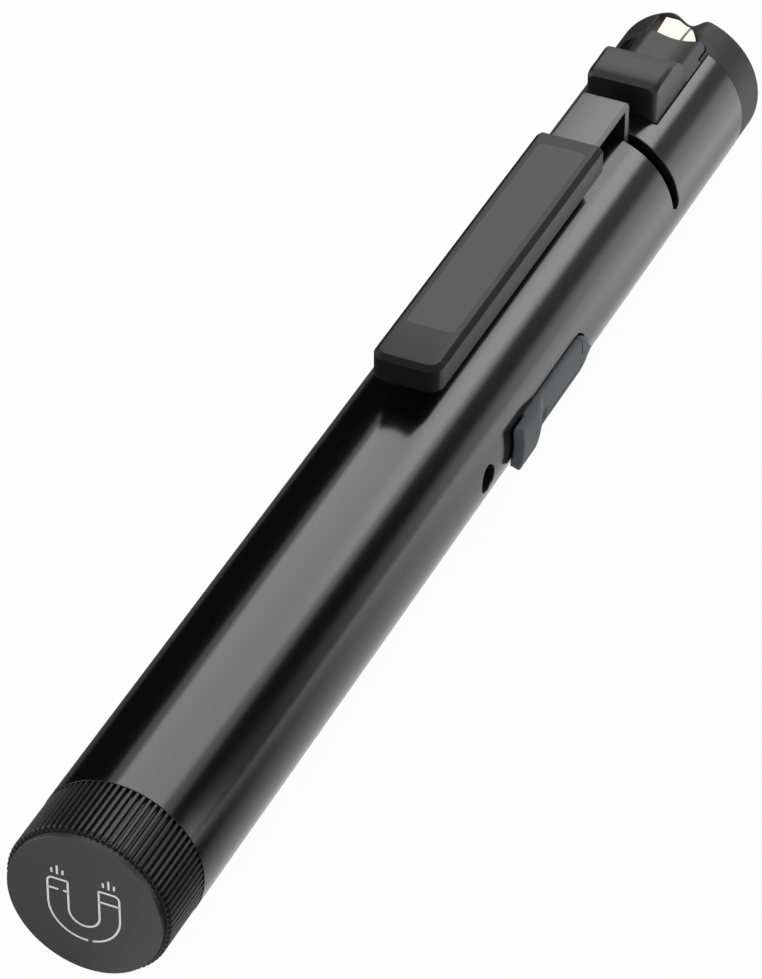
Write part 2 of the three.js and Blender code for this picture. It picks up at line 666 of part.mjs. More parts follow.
// Clip: fixed core sleeve, ring that turns on it, circlip, leaf, pad and inlay.
function makeClipCore() {
  const grooveRadius = CORE_RADIUS - CIRCLIP_GROOVE
  const grooveEnd = CIRCLIP_START + CIRCLIP_THICKNESS + TOUCH_GAP
  return turn([
    [CORE_BORE, CORE_START], [BORE_RADIUS - SEAT_GAP, CORE_START],
    [BORE_RADIUS - SEAT_GAP, CORE_START + CORE_FLANGE], [CORE_RADIUS, CORE_START + CORE_FLANGE],
    [CORE_RADIUS, CIRCLIP_START - TOUCH_GAP], [grooveRadius, CIRCLIP_START - TOUCH_GAP],
    [grooveRadius, grooveEnd], [CORE_RADIUS, grooveEnd],
    [CORE_RADIUS, CORE_END], [CORE_BORE, CORE_END]
  ], INNER_SEGMENTS)
}
add('clip_core', makeClipCore(), aluminium)

function makeCirclip() {
  const inner = CORE_RADIUS - CIRCLIP_GROOVE + TOUCH_GAP
  const ring = toSolid(tubeY(inner, CIRCLIP_RADIUS, CIRCLIP_START, CIRCLIP_START + CIRCLIP_THICKNESS,
    INNER_SEGMENTS))
  const half = CIRCLIP_RADIUS * Math.tan(THREE.MathUtils.degToRad(CIRCLIP_OPENING / 2))
  const mouth = polygon([[0, 0], [-half * 2, -CIRCLIP_RADIUS * 2], [half * 2, -CIRCLIP_RADIUS * 2]])
  return cut(ring, toSolid(alongY(mouth, CIRCLIP_START - 1, CIRCLIP_START + 2)))
}
add('clip_circlip', makeCirclip(), steel)

const legFoot = CLIP_RING_RADIUS - LEG_DEPTH
const leafBottom = BODY_RADIUS + LEAF_LIFT
const leafTop = leafBottom + LEAF_THICKNESS
const legRear = LEG_Y - LEAF_THICKNESS / 2
const legFront = LEG_Y + LEAF_THICKNESS / 2
const padFront = LEG_Y - PAD_FROM_LEG
const padTip = padFront - PAD_LENGTH
const leafTail = padFront - PAD_HOLD

function makeClipRing() {
  const ring = toSolid(tubeY(CORE_RADIUS + SEAT_GAP, CLIP_RING_RADIUS, CLIP_RING_START, CLIP_RING_END))
  const half = LEAF_HALF_WIDTH + LEG_PLAY
  const pocket = box(-half, half, legRear - LEG_PLAY, legFront + LEG_PLAY, legFoot - LEG_PLAY, BODY_RADIUS)
  return cut(ring, toSolid(pocket))
}
add('clip_ring', makeClipRing(), steel)

function makeLeaf() {
  const outerBend = LEAF_BEND + LEAF_THICKNESS
  const side = new THREE.Shape()
  side.moveTo(leafTail, leafBottom)
  side.lineTo(legRear - LEAF_BEND, leafBottom)
  side.absarc(legRear - LEAF_BEND, leafBottom - LEAF_BEND, LEAF_BEND, Math.PI / 2, 0, true)
  side.lineTo(legRear, legFoot)
  side.lineTo(legFront, legFoot)
  side.lineTo(legFront, leafTop - outerBend)
  side.absarc(legFront - outerBend, leafTop - outerBend, outerBend, 0, Math.PI / 2)
  side.lineTo(leafTail, leafTop)
  return alongX(side, -LEAF_HALF_WIDTH, LEAF_HALF_WIDTH)
}
add('clip_leaf', makeLeaf(), springSteel)

const padBottom = BODY_RADIUS + PAD_LIFT
const padTop = padBottom + PAD_THICKNESS

function inlayOutline(gap) {
  const half = INLAY_HALF_WIDTH - gap
  const corner = INLAY_CORNER - gap
  const tail = padTip + INLAY_FROM_TIP + gap
  const head = padFront - INLAY_FROM_FRONT - gap
  return roundedRect(-half, half, tail, head, corner, corner)
}

function makePad() {
  const plan = roundedRect(-PAD_HALF_WIDTH, PAD_HALF_WIDTH, padTip, padFront, PAD_TIP_RADIUS, TOUCH_GAP)
  const edge = PAD_HALF_WIDTH - PAD_CHAMFER
  const low = padBottom - 1
  const shoulder = padTop - PAD_CHAMFER
  const section = polygon([
    [-PAD_HALF_WIDTH, low], [PAD_HALF_WIDTH, low], [PAD_HALF_WIDTH, shoulder],
    [edge, padTop], [-edge, padTop], [-PAD_HALF_WIDTH, shoulder]
  ])
  const side = polygon([
    [padTip, low], [padFront + 1, low], [padFront + 1, padTop],
    [padTip + PAD_CHAMFER, padTop], [padTip, shoulder]
  ])
  const bar = toSolid(alongZ(plan, padBottom, padTop))
  const chamfered = bar.intersect(toSolid(alongY(section, padTip - 1, padFront + 1)))
  const tipped = chamfered.intersect(toSolid(alongX(side, -2 * PAD_HALF_WIDTH, 2 * PAD_HALF_WIDTH)))
  const half = LEAF_HALF_WIDTH + FIT_GAP
  const leafSlot = box(-half, half, leafTail - FIT_GAP, padFront + 1, leafBottom, leafTop)
  const recess = alongZ(inlayOutline(0), padTop - INLAY_DEPTH, padTop + 1)
  return cut(tipped, toSolid(leafSlot), toSolid(recess))
}
add('clip_pad', makePad(), padPlastic)
add('clip_pad_inlay', alongZ(inlayOutline(TOUCH_GAP), padTop - INLAY_DEPTH, padTop), inlayPlastic)

// Button tongue: a slab flush with the tube, a trough along its front half and the thumb block behind it.
const tongueFront = BARREL_END + TONGUE_NOSE
const neckStart = BARREL_END - TONGUE_NECK_LENGTH

function tonguePlan(gap) {
  const wide = TONGUE_HALF_WIDTH + gap
  const neck = TONGUE_NECK_HALF + gap
  const corner = TONGUE_CORNER
  const front = tongueFront + gap
  const shape = new THREE.Shape()
  shape.moveTo(-wide, TONGUE_REAR - gap)
  shape.lineTo(wide, TONGUE_REAR - gap)
  shape.lineTo(wide, neckStart + gap)
  shape.lineTo(neck, neckStart + gap)
  shape.lineTo(neck, front - corner)
  shape.absarc(neck - corner, front - corner, corner, 0, Math.PI / 2)
  shape.lineTo(-neck + corner, front)
  shape.absarc(-neck + corner, front - corner, corner, Math.PI / 2, Math.PI)
  shape.lineTo(-neck, neckStart + gap)
  shape.lineTo(-wide, neckStart + gap)
  return shape
}

function makeBlock() {
  const top = BODY_RADIUS + BLOCK_RISE
  const low = TONGUE_BOTTOM + 0.5
  const shoulder = top - BLOCK_CHAMFER
  const edge = TONGUE_HALF_WIDTH - BLOCK_CHAMFER
  const section = polygon([
    [-TONGUE_HALF_WIDTH, low], [TONGUE_HALF_WIDTH, low], [TONGUE_HALF_WIDTH, shoulder],
    [edge, top], [-edge, top], [-TONGUE_HALF_WIDTH, shoulder]
  ])
  const side = new THREE.Shape()
  side.moveTo(TONGUE_REAR, low)
  side.lineTo(TONGUE_REAR + BLOCK_NOSE, low)
  side.lineTo(TONGUE_REAR + BLOCK_NOSE, BODY_RADIUS - TROUGH_DEPTH)
  side.quadraticCurveTo(TONGUE_REAR + BLOCK_NOSE - 1.4, top, TONGUE_REAR + BLOCK_FLAT, top)
  side.lineTo(TONGUE_REAR + BLOCK_BEVEL, top)
  side.lineTo(TONGUE_REAR, shoulder)
  const half = TONGUE_HALF_WIDTH
  const plan = roundedRect(-half, half, TONGUE_REAR, tongueFront, BLOCK_CORNER, TOUCH_GAP)
  const bar = toSolid(alongY(section, TONGUE_REAR, TONGUE_REAR + BLOCK_NOSE))
  const profiled = bar.intersect(toSolid(alongX(side, -2 * TONGUE_HALF_WIDTH, 2 * TONGUE_HALF_WIDTH)))
  return profiled.intersect(toSolid(alongZ(plan, 0, top + 1)))
}

function makeTongue() {
  const plan = toSolid(alongZ(tonguePlan(0), TONGUE_BOTTOM, BODY_RADIUS + 1))
  const slab = plan.intersect(toSolid(cylinderY(BODY_RADIUS, TONGUE_REAR - 1, tongueFront + 1)))
  const trough = cylinderY(TROUGH_RADIUS, TONGUE_REAR + BLOCK_NOSE - 1, FRONT + 1)
  trough.translate(0, 0, BODY_RADIUS - TROUGH_DEPTH + TROUGH_RADIUS)
  return join(cut(slab, toSolid(trough)), makeBlock())
}
add('button_tongue', makeTongue(), charcoal)

// Bezel: ring with a spigot in the barrel, ears beside the tongue's neck, window pocket and front scallop.
function makeBezel() {
  const mouth = LENS_BORE - LIP_WIDTH - FIT_GAP
  const ring = toSolid(turn([
    [LENS_BORE, SPIGOT_START], [SPIGOT_RADIUS, SPIGOT_START], [SPIGOT_RADIUS, BARREL_END],
    [BEZEL_RADIUS, BARREL_END], [BEZEL_RADIUS, FRONT - BEZEL_EDGE], [BEZEL_RADIUS - BEZEL_EDGE, FRONT],
    [mouth + LENS_LIP, FRONT], [mouth, FRONT - LENS_LIP], [LENS_BORE, FRONT - LENS_LIP]
  ]))
  const earFloor = TONGUE_BOTTOM - SEAT_GAP
  const earOuter = TONGUE_HALF_WIDTH
  const earInner = TONGUE_NECK_HALF + FIT_GAP
  const earStart = neckStart + FIT_GAP
  const bar = toSolid(cylinderY(BEZEL_RADIUS, earStart, BARREL_END + 0.2))
  const ears = [[-earOuter, -earInner], [earInner, earOuter]].map(([x0, x1]) => {
    return bar.intersect(toSolid(box(x0, x1, earStart - 1, BARREL_END + 1, earFloor, BODY_RADIUS + 1)))
  })
  const tongueRoom = toSolid(alongZ(tonguePlan(FIT_GAP), earFloor, BODY_RADIUS + 1))
  const pocketHalf = WINDOW_HALF_WIDTH + TOUCH_GAP
  const pocketEnd = FRONT - RIM_WALL
  const above = BODY_RADIUS + 1
  const pocket = toSolid(box(-pocketHalf, pocketHalf, tongueFront, pocketEnd, POCKET_FLOOR, above))
  const scallop = cylinderY(SCALLOP_RADIUS, pocketEnd - 0.1, FRONT + 1, INNER_SEGMENTS)
  scallop.translate(0, 0, BODY_RADIUS - SCALLOP_DEPTH + SCALLOP_RADIUS)
  const trimmed = cut(ring, tongueRoom, pocket, toSolid(scallop))
  return join(trimmed, ...ears)
}
add('head_bezel', makeBezel(), charcoal)

const windowBottom = WINDOW_TOP - WINDOW_THICKNESS
function windowSlab(z0, z1) {
  return box(-WINDOW_HALF_WIDTH, WINDOW_HALF_WIDTH, WINDOW_START, WINDOW_END, z0, z1)
}
add('side_led_board', windowSlab(POCKET_FLOOR, windowBottom), whiteBoard)
add('side_light_window', windowSlab(windowBottom, WINDOW_TOP), litWindow)

// Lamp: heat sink, LED board, LED, reflector, lens and gasket.
function makeHeatSink() {
  const slug = toSolid(cylinderY(SINK_RADIUS, SINK_START, SINK_END))
  const wide = BORE_RADIUS + 1
  const roof = toSolid(box(-wide, wide, SINK_START - 1, SINK_END + 1, SINK_TOP, wide))
  const ledge = toSolid(box(-wide, wide, SINK_START - 1, DRIVER_END + SEAT_GAP, LEDGE_Z, wide))
  const holes = [-SCREW_X, SCREW_X].map((x) => {
    return toSolid(cylinderZ(SCREW_RADIUS + FIT_GAP, x, DRIVER_Y, LEDGE_Z - SCREW_DEPTH - SEAT_GAP, wide))
  })
  return cut(slug, roof, ledge, ...holes)
}
add('head_heatsink', makeHeatSink(), aluminium)
add('uv_led_board', cylinderY(LENS_RADIUS, SINK_END, LED_BOARD_END, INNER_SEGMENTS), whiteBoard)

function makeLed() {
  const half = LED_SIDE / 2
  const base = toSolid(box(-half, half, LED_BOARD_END, LED_BOARD_END + LED_BASE, -half, half))
  const profile = [[0, LED_BOARD_END + LED_BASE / 2], [LED_DOME, LED_BOARD_END + LED_BASE / 2]]
  const steps = 6
  for (let i = 0; i <= steps; i++) {
    const angle = (i / steps) * (Math.PI / 2)
    const y = LED_BOARD_END + LED_BASE + LED_DOME * Math.sin(angle)
    profile.push([i === steps ? 0 : LED_DOME * Math.cos(angle), y])
  }
  return join(base, toSolid(turn(profile, 24)))
}
add('uv_led', makeLed(), ledBody)

function makeReflector() {
  const back = LED_BOARD_END + LED_BASE + TOUCH_GAP
  const front = LENS_START - TOUCH_GAP
  const outer = LENS_RADIUS
  const steps = 5
  const inside = []
  const outside = []
  for (let i = 0; i <= steps; i++) {
    const share = i / steps
    const y = back + (front - back) * share
    const radius = REFLECTOR_BACK + (outer - REFLECTOR_WALL - REFLECTOR_BACK) * Math.sqrt(share)
    inside.push([radius, y])
    outside.push([radius + REFLECTOR_WALL, y])
  }
  return turn([...outside, ...inside.reverse()], INNER_SEGMENTS)
}
add('reflector', makeReflector(), mirror)
add('front_lens', cylinderY(LENS_RADIUS, LENS_START, LENS_END, INNER_SEGMENTS), glass)

const gasketInner = LENS_RADIUS - LIP_WIDTH
add('lens_gasket', tubeY(gasketInner, LENS_RADIUS, LENS_END, FRONT - LENS_LIP, INNER_SEGMENTS), sealRubber)

// Switch: driver board on the heat sink's ledge, tact switch, plunger and two screws.
function makeDriver() {
  const plate = toSolid(box(-DRIVER_HALF_WIDTH, DRIVER_HALF_WIDTH, DRIVER_START, DRIVER_END,
    LEDGE_Z, LEDGE_Z + DRIVER_THICKNESS))
  const holes = [-SCREW_X, SCREW_X].map((x) => {
    return toSolid(cylinderZ(SCREW_RADIUS + FIT_GAP, x, DRIVER_Y, LEDGE_Z - 1, SWITCH_TOP))
  })
  return cut(plate, ...holes)
}
add('driver_board', makeDriver(), board)

const driverTop = LEDGE_Z + DRIVER_THICKNESS
const plungerBottom = SWITCH_TOP - FIT_GAP
const switchHalf = SWITCH_SIDE / 2

function makeSwitch() {
  const rear = DRIVER_Y - switchHalf
  const body = toSolid(box(-switchHalf, switchHalf, rear, rear + SWITCH_SIDE, driverTop, SWITCH_TOP))
  const wellFloor = plungerBottom - PLUNGER_TRAVEL - TOUCH_GAP
  const well = cylinderZ(PLUNGER_RADIUS + FIT_GAP, 0, DRIVER_Y, wellFloor, SWITCH_TOP + 1)
  return cut(body, toSolid(well))
}
add('tact_switch', makeSwitch(), blackPlastic)

const plungerTop = TONGUE_BOTTOM - TOUCH_GAP
add('switch_plunger', cylinderZ(PLUNGER_RADIUS, 0, DRIVER_Y, plungerBottom, plungerTop), whiteBoard)

for (const [index, x] of [-SCREW_X, SCREW_X].entries()) {
  const shank = turn([
    [0, LEDGE_Z - SCREW_DEPTH], [SCREW_RADIUS, LEDGE_Z - SCREW_DEPTH], [SCREW_RADIUS, driverTop],
    [SCREW_HEAD_RADIUS, driverTop], [SCREW_HEAD_RADIUS, driverTop + SCREW_HEAD_HEIGHT],
    [0, driverTop + SCREW_HEAD_HEIGHT]
  ], 16)
  shank.rotateX(Math.PI / 2).translate(x, DRIVER_Y, 0)
  add(`driver_screw_${index + 1}`, shank, steel)
}

// Leads from the charger board to the driver board, through the clip core.
function makeLead(points) {
  const path = new THREE.CatmullRomCurve3(points.map(([x, y, z]) => new THREE.Vector3(x, y, z)))
  const ring = new THREE.Shape().absarc(0, 0, LEAD_RADIUS, 0, 2 * Math.PI)
  return new THREE.ExtrudeGeometry(ring, { steps: 20, curveSegments: 3, extrudePath: path })
}

const leadZ = Math.sqrt((CORE_BORE - LEAD_RADIUS - SEAT_GAP) ** 2 - LEAD_SPREAD ** 2)
const leadStart = CHARGER_END + SEAT_GAP
const leadMiddle = CHARGER_END + LEAD_BAY * 0.4
const leadLevel = CHARGER_END + LEAD_BAY * 0.75
const leadEnd = SINK_START - SEAT_GAP
const leadX = CHARGER_HEIGHT - CHARGER_THICKNESS / 2
add('lead_positive', makeLead([
  [leadX, leadStart, leadZ], [LEAD_SPREAD, leadMiddle, leadZ],
  [LEAD_SPREAD, leadLevel, leadZ], [LEAD_SPREAD, CORE_START, leadZ], [LEAD_SPREAD, leadEnd, leadZ]
]), redWire)
add('lead_negative', makeLead([
  [leadX, leadStart, -leadZ], [-LEAD_SPREAD / 2, leadMiddle, 0],
  [-LEAD_SPREAD, leadLevel, leadZ], [-LEAD_SPREAD, CORE_START, leadZ], [-LEAD_SPREAD, leadEnd, leadZ]
]), blackWire)

export default torch
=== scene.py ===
"""Pocket torch: every outer piece as a modelled mesh with its finish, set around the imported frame."""
import json
import math

import bpy
import numpy as np
from bpy.props import FloatProperty, FloatVectorProperty, IntProperty, PointerProperty
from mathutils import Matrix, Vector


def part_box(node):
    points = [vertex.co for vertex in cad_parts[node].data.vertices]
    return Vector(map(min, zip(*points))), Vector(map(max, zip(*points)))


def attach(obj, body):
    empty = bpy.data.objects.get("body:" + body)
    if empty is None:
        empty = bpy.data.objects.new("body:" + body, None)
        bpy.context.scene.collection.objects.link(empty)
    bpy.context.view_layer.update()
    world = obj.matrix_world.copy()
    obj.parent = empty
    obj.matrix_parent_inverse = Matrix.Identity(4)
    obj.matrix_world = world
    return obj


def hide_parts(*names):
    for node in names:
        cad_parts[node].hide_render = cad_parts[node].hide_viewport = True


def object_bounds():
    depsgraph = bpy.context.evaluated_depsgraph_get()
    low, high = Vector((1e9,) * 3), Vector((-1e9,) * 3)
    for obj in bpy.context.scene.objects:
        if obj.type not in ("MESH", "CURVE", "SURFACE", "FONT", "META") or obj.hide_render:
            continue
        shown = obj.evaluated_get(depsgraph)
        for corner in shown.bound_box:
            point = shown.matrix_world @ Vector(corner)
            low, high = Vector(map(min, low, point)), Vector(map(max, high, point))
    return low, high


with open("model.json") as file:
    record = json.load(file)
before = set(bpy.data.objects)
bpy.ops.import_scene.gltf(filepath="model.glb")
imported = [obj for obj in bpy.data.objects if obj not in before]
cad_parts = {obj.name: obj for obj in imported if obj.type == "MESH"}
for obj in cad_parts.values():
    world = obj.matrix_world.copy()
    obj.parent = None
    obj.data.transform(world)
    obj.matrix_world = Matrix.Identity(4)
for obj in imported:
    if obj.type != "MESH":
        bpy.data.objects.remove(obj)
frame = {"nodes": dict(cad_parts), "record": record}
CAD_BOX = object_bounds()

bl_info = {
    "name": "Pocket Torch",
    "version": (1, 0, 0),
    "blender": (4, 5, 0),
    "location": "View3D > Sidebar > Torch",
    "description": "Builds the dressed pocket torch around its packed frame",
    "category": "Object",
}

MM = 0.001


# Places taken from the frame, in millimetres.
def read(items, name, width=3, kind=float):
    """One property of every vertex, corner or face of a mesh, as the rows of an array."""
    values = np.empty(width * len(items), dtype=kind)
    items.foreach_get(name, values)
    return values.reshape(-1, width)


def span(node):
    """Lowest and highest corner of a frame node at rest."""
    low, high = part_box(node)
    return np.array(low) / MM, np.array(high) / MM


def reach(node):
    """Largest distance of a frame node from the torch's long axis."""
    places = read(frame["nodes"][node].data.vertices, "co") / MM
    return float(np.hypot(places[:, 0], places[:, 2]).max())


BARREL_LOW, BARREL_HIGH = span("barrel")
BODY_RADIUS = reach("barrel")
BARREL_START = BARREL_LOW[1]
BARREL_END = BARREL_HIGH[1]
WALL = 0.9
BORE_RADIUS = BODY_RADIUS - WALL

FACE_END = span("tail_face_plate")[1][1]
FACE_RADIUS = reach("tail_face_plate")
CAP_LOW, CAP_HIGH = span("tail_cap")
CAP_RADIUS = reach("tail_cap")
KNURL_END = BARREL_START - 0.15
RIB_END = BARREL_START - 0.04
PLUG_RADIUS = BORE_RADIUS - 0.4
PLUG_WALL = 1.5
MAGNET_RADIUS = reach("tail_magnet")
MAGNET_END = span("tail_magnet")[1][1]
CONTACT_FLOOR = span("tail_contact")[0][1] - 0.1

LEAF_LOW, LEAF_HIGH = span("clip_leaf")
PAD_LOW, PAD_HIGH = span("clip_pad")
INLAY_LOW, INLAY_HIGH = span("clip_pad_inlay")
TONGUE_LOW, TONGUE_HIGH = span("button_tongue")
BEZEL_LOW, BEZEL_HIGH = span("head_bezel")
BEZEL_RADIUS = 7.95
WINDOW_LOW, WINDOW_HIGH = span("side_light_window")
NECK_START = BARREL_END - 1.75
NECK_HALF = 3.45
NECK_CORNER = 1.2
BLOCK_CORNER = 0.6
HOLLOW_FLOOR = BODY_RADIUS - 1.0
HOLLOW_RADIUS = 6.0
ROOM_GAP = 0.11
ROOM_FLOOR = 5.3
POCKET_FLOOR = 5.8
POCKET_LEFT = -2.6
POCKET_FRONT = 139.2
ABOVE_TUBE = BODY_RADIUS + 1.0
OPENING_GAP = 0.15

PORT_ANGLE = math.radians(94.5)
COVER_HALF_WIDTH = 2.2
COVER_TAIL = 77.4
COVER_HINGE = 90.8
COVER_HEAD = 92.45
COVER_INNER = 7.35
COVER_TOP = 8.5
COVER_PLUG = 84.55
TAB_TOP = reach("port_cover_flap")
TAB_END = span("port_cover_flap")[0][1]
TAB_FLAT = 4.1
TAB_RAMP = 2.4
LIGHT_ANGLE = math.radians(91)
LIGHT_PLACE = 68.9
LIGHT_HOLE = 1.45
SLOT_PLACE = 116.5
SLOT_WIDTH = 1.55
SLOT_REACH = math.radians(86.55)


# Shape functions: whole arrays of points in millimetres.
def polar(radius, angle, along):
    """Points at a radius and angle round the torch's axis, the angle counted from the top to the right."""
    x, y, z = np.broadcast_arrays(radius * np.sin(angle), along, radius * np.cos(angle))
    return np.stack([x, y, z], axis=-1)


def smooth(low, high, value):
    """Smooth step: 0 below low, 1 above high, and 3t squared less 2t cubed between."""
    t = np.clip((value - low) / (high - low), 0.0, 1.0)
    return t * t * (3.0 - 2.0 * t)


def rounded_outline(u0, u1, v0, v1, low, high, arc=7, along_u=1, along_v=1):
    """Closed rounded rectangle: quarter circles of radius low at the v0 end and high at the v1 end."""
    turn = np.radians(np.linspace(0.0, 90.0, arc))
    corners = ((u1 - low, v0 + low, low, -90), (u1 - high, v1 - high, high, 0),
               (u0 + high, v1 - high, high, 90), (u0 + low, v0 + low, low, 180))
    arcs = []
    for centre_u, centre_v, radius, start in corners:
        angle = turn + math.radians(start)
        arcs.append(np.stack([centre_u + radius * np.cos(angle), centre_v + radius * np.sin(angle)], axis=-1))
    parts = []
    for index, count in enumerate((along_v, along_u, along_v, along_u)):
        first, last = arcs[index][-1], arcs[(index + 1) % 4][0]
        share = np.linspace(0.0, 1.0, count + 2)[1:-1, None]
        parts += [arcs[index], first + (last - first) * share]
    return np.concatenate(parts)


def grid_faces(rows, columns, wrap_rows):
    """Four-cornered faces of a grid whose columns close on themselves, and its rows too where asked."""
    count = rows if wrap_rows else rows - 1
    row, column = np.meshgrid(np.arange(count), np.arange(columns), indexing="ij")
    below = (row + 1) % rows
    beyond = (column + 1) % columns
    corners = ((row, column), (row, beyond), (below, beyond), (below, column))
    return np.stack([line * columns + place for line, place in corners], axis=-1).reshape(-1, 4)


def loft(name, shells, wrap=False, sharp=28.0):
    """A closed mesh from rings of points: quads between rings, and a flat end on an open row of rings."""
    points, faces, first = [], [], 0
    for rings in shells:
        rows, columns = rings.shape[:2]
        points.append(rings.reshape(-1, 3) * MM)
        faces += (grid_faces(rows, columns, wrap) + first).tolist()
        if not wrap:
            faces.append(list(range(first + columns - 1, first - 1, -1)))
            faces.append(list(range(first + (rows - 1) * columns, first + rows * columns)))
        first += rows * columns
    mesh = bpy.data.meshes.new(name)
    mesh.from_pydata(np.concatenate(points).tolist(), [], faces)
    mesh.validate()
    point_outward(mesh)
    mesh.shade_smooth()
    mesh.set_sharp_from_angle(angle=math.radians(sharp))
    piece = bpy.data.objects.new(name, mesh)
    bpy.context.scene.collection.objects.link(piece)
    return piece


def point_outward(mesh):
    """Turns the faces round where the volume that they enclose comes out negative."""
    mesh.calc_loop_triangles()
    corners = read(mesh.loop_triangles, "vertices", kind=np.int32)
    a, b, c = np.moveaxis(read(mesh.vertices, "co")[corners], 1, 0)
    if np.einsum("ij,ij->i", a, np.cross(b, c)).sum() < 0.0:
        mesh.flip_normals()


def all_round(columns):
    """Angles of a whole turn, evenly spaced."""
    return np.linspace(0.0, 2.0 * math.pi, columns, endpoint=False)


def turned(profile, columns):
    """Rings of a turned form: each (radius, place) of the profile carried once round the axis."""
    profile = np.asarray(profile, dtype=float)
    return polar(profile[:, 0, None], all_round(columns)[None, :], profile[:, 1, None])


def quarter(centre_r, centre_y, radius, start, stop, steps=5):
    """Points of a rounded edge in a turned profile, between two angles in degrees."""
    angle = np.radians(np.linspace(start, stop, steps))
    return list(zip(centre_r + radius * np.cos(angle), centre_y + radius * np.sin(angle)))


def cut_away(piece, cutters):
    """Takes the cutters out of a piece with exact booleans, and leaves the result in its mesh."""
    for cutter in cutters:
        modifier = piece.modifiers.new("cut", "BOOLEAN")
        modifier.operation = "DIFFERENCE"
        modifier.solver = "EXACT"
        modifier.object = cutter
    depsgraph = bpy.context.evaluated_depsgraph_get()
    mesh = bpy.data.meshes.new_from_object(piece.evaluated_get(depsgraph))
    if len(mesh.polygons) < len(piece.data.polygons) // 2:
        raise RuntimeError("the cut left too little of " + piece.name)
    piece.modifiers.clear()
    piece.data = mesh
    for cutter in cutters:
        bpy.data.objects.remove(cutter)
    mesh.shade_smooth()
    mesh.set_sharp_from_angle(angle=math.radians(28))


def round_normals(piece, radius):
    """Gives the corners on a turned surface the normal of the true cylinder, so long faces shade evenly."""
    mesh = piece.data
    places = read(mesh.vertices, "co")[read(mesh.loops, "vertex_index", 1, np.int32)[:, 0]]
    totals = read(mesh.polygons, "loop_total", 1, np.int32)[:, 0]
    face_normal = np.repeat(read(mesh.polygons, "normal"), totals, axis=0)
    across = places * (1.0, 0.0, 1.0)
    distance = np.linalg.norm(across, axis=1)
    radial = across / np.maximum(distance, 1e-9)[:, None]
    facing = np.einsum("ij,ij->i", radial, face_normal)
    round_corner = (np.abs(distance - radius * MM) < 2e-5) & (facing > 0.97)
    mesh.normals_split_custom_set(np.where(round_corner[:, None], radial, 0.0).tolist())


def normals(piece):
    """Normals of a piece's faces in three rows: across, along and up."""
    return read(piece.data.polygons, "normal").T


def outward(piece):
    """How far each face looks away from the torch's axis: 1 on the outer surface, -1 in the bore."""
    across = read(piece.data.polygons, "center") * (1.0, 0.0, 1.0)
    return np.einsum("ij,ji->i", across, normals(piece)) / np.linalg.norm(across, axis=1)


def stacked(levels):
    """Rings from flat outlines, each at its height."""
    return np.stack([np.column_stack([outline, np.full(len(outline), z)]) for z, outline in levels])


def over_floor(x, along, z, bottom):
    """Rings with a modelled top and a flat underside at one height."""
    upper = np.stack([x, np.broadcast_to(along[:, None], x.shape), z], axis=-1)
    lower = upper[:, ::-1][:, ::8].copy()
    lower[..., 2] = bottom
    return np.concatenate([upper, lower], axis=1)


def beside(path):
    """Unit vectors square to a flat path."""
    run = np.gradient(path, axis=0)
    run /= np.linalg.norm(run, axis=1)[:, None]
    return np.stack([-run[:, 1], run[:, 0]], axis=-1)


def soften(piece, width, angle):
    """Rounds a piece's edges that are sharper than an angle with a live bevel."""
    modifier = piece.modifiers.new("soft_edges", "BEVEL")
    modifier.width = width * MM
    modifier.segments = 2
    modifier.limit_method = "ANGLE"
    modifier.angle_limit = math.radians(angle)
    modifier.harden_normals = False


# Finishes: each is a node material on Object coordinates.
class NodeWork:
    """Arithmetic in a node tree."""

    def __init__(self, tree):
        self.nodes = tree.nodes
        self.links = tree.links

    def combine(self, operation, first, *others):
        """Arithmetic between outputs, or outputs and numbers, from left to right."""
        for other in others:
            node = self.nodes.new("ShaderNodeMath")
            node.operation = operation
            for socket, value in zip(node.inputs, (first, other)):
                if isinstance(value, (int, float)):
                    socket.default_value = value
                else:
                    self.links.new(value, socket)
            first = node.outputs["Value"]
        return first


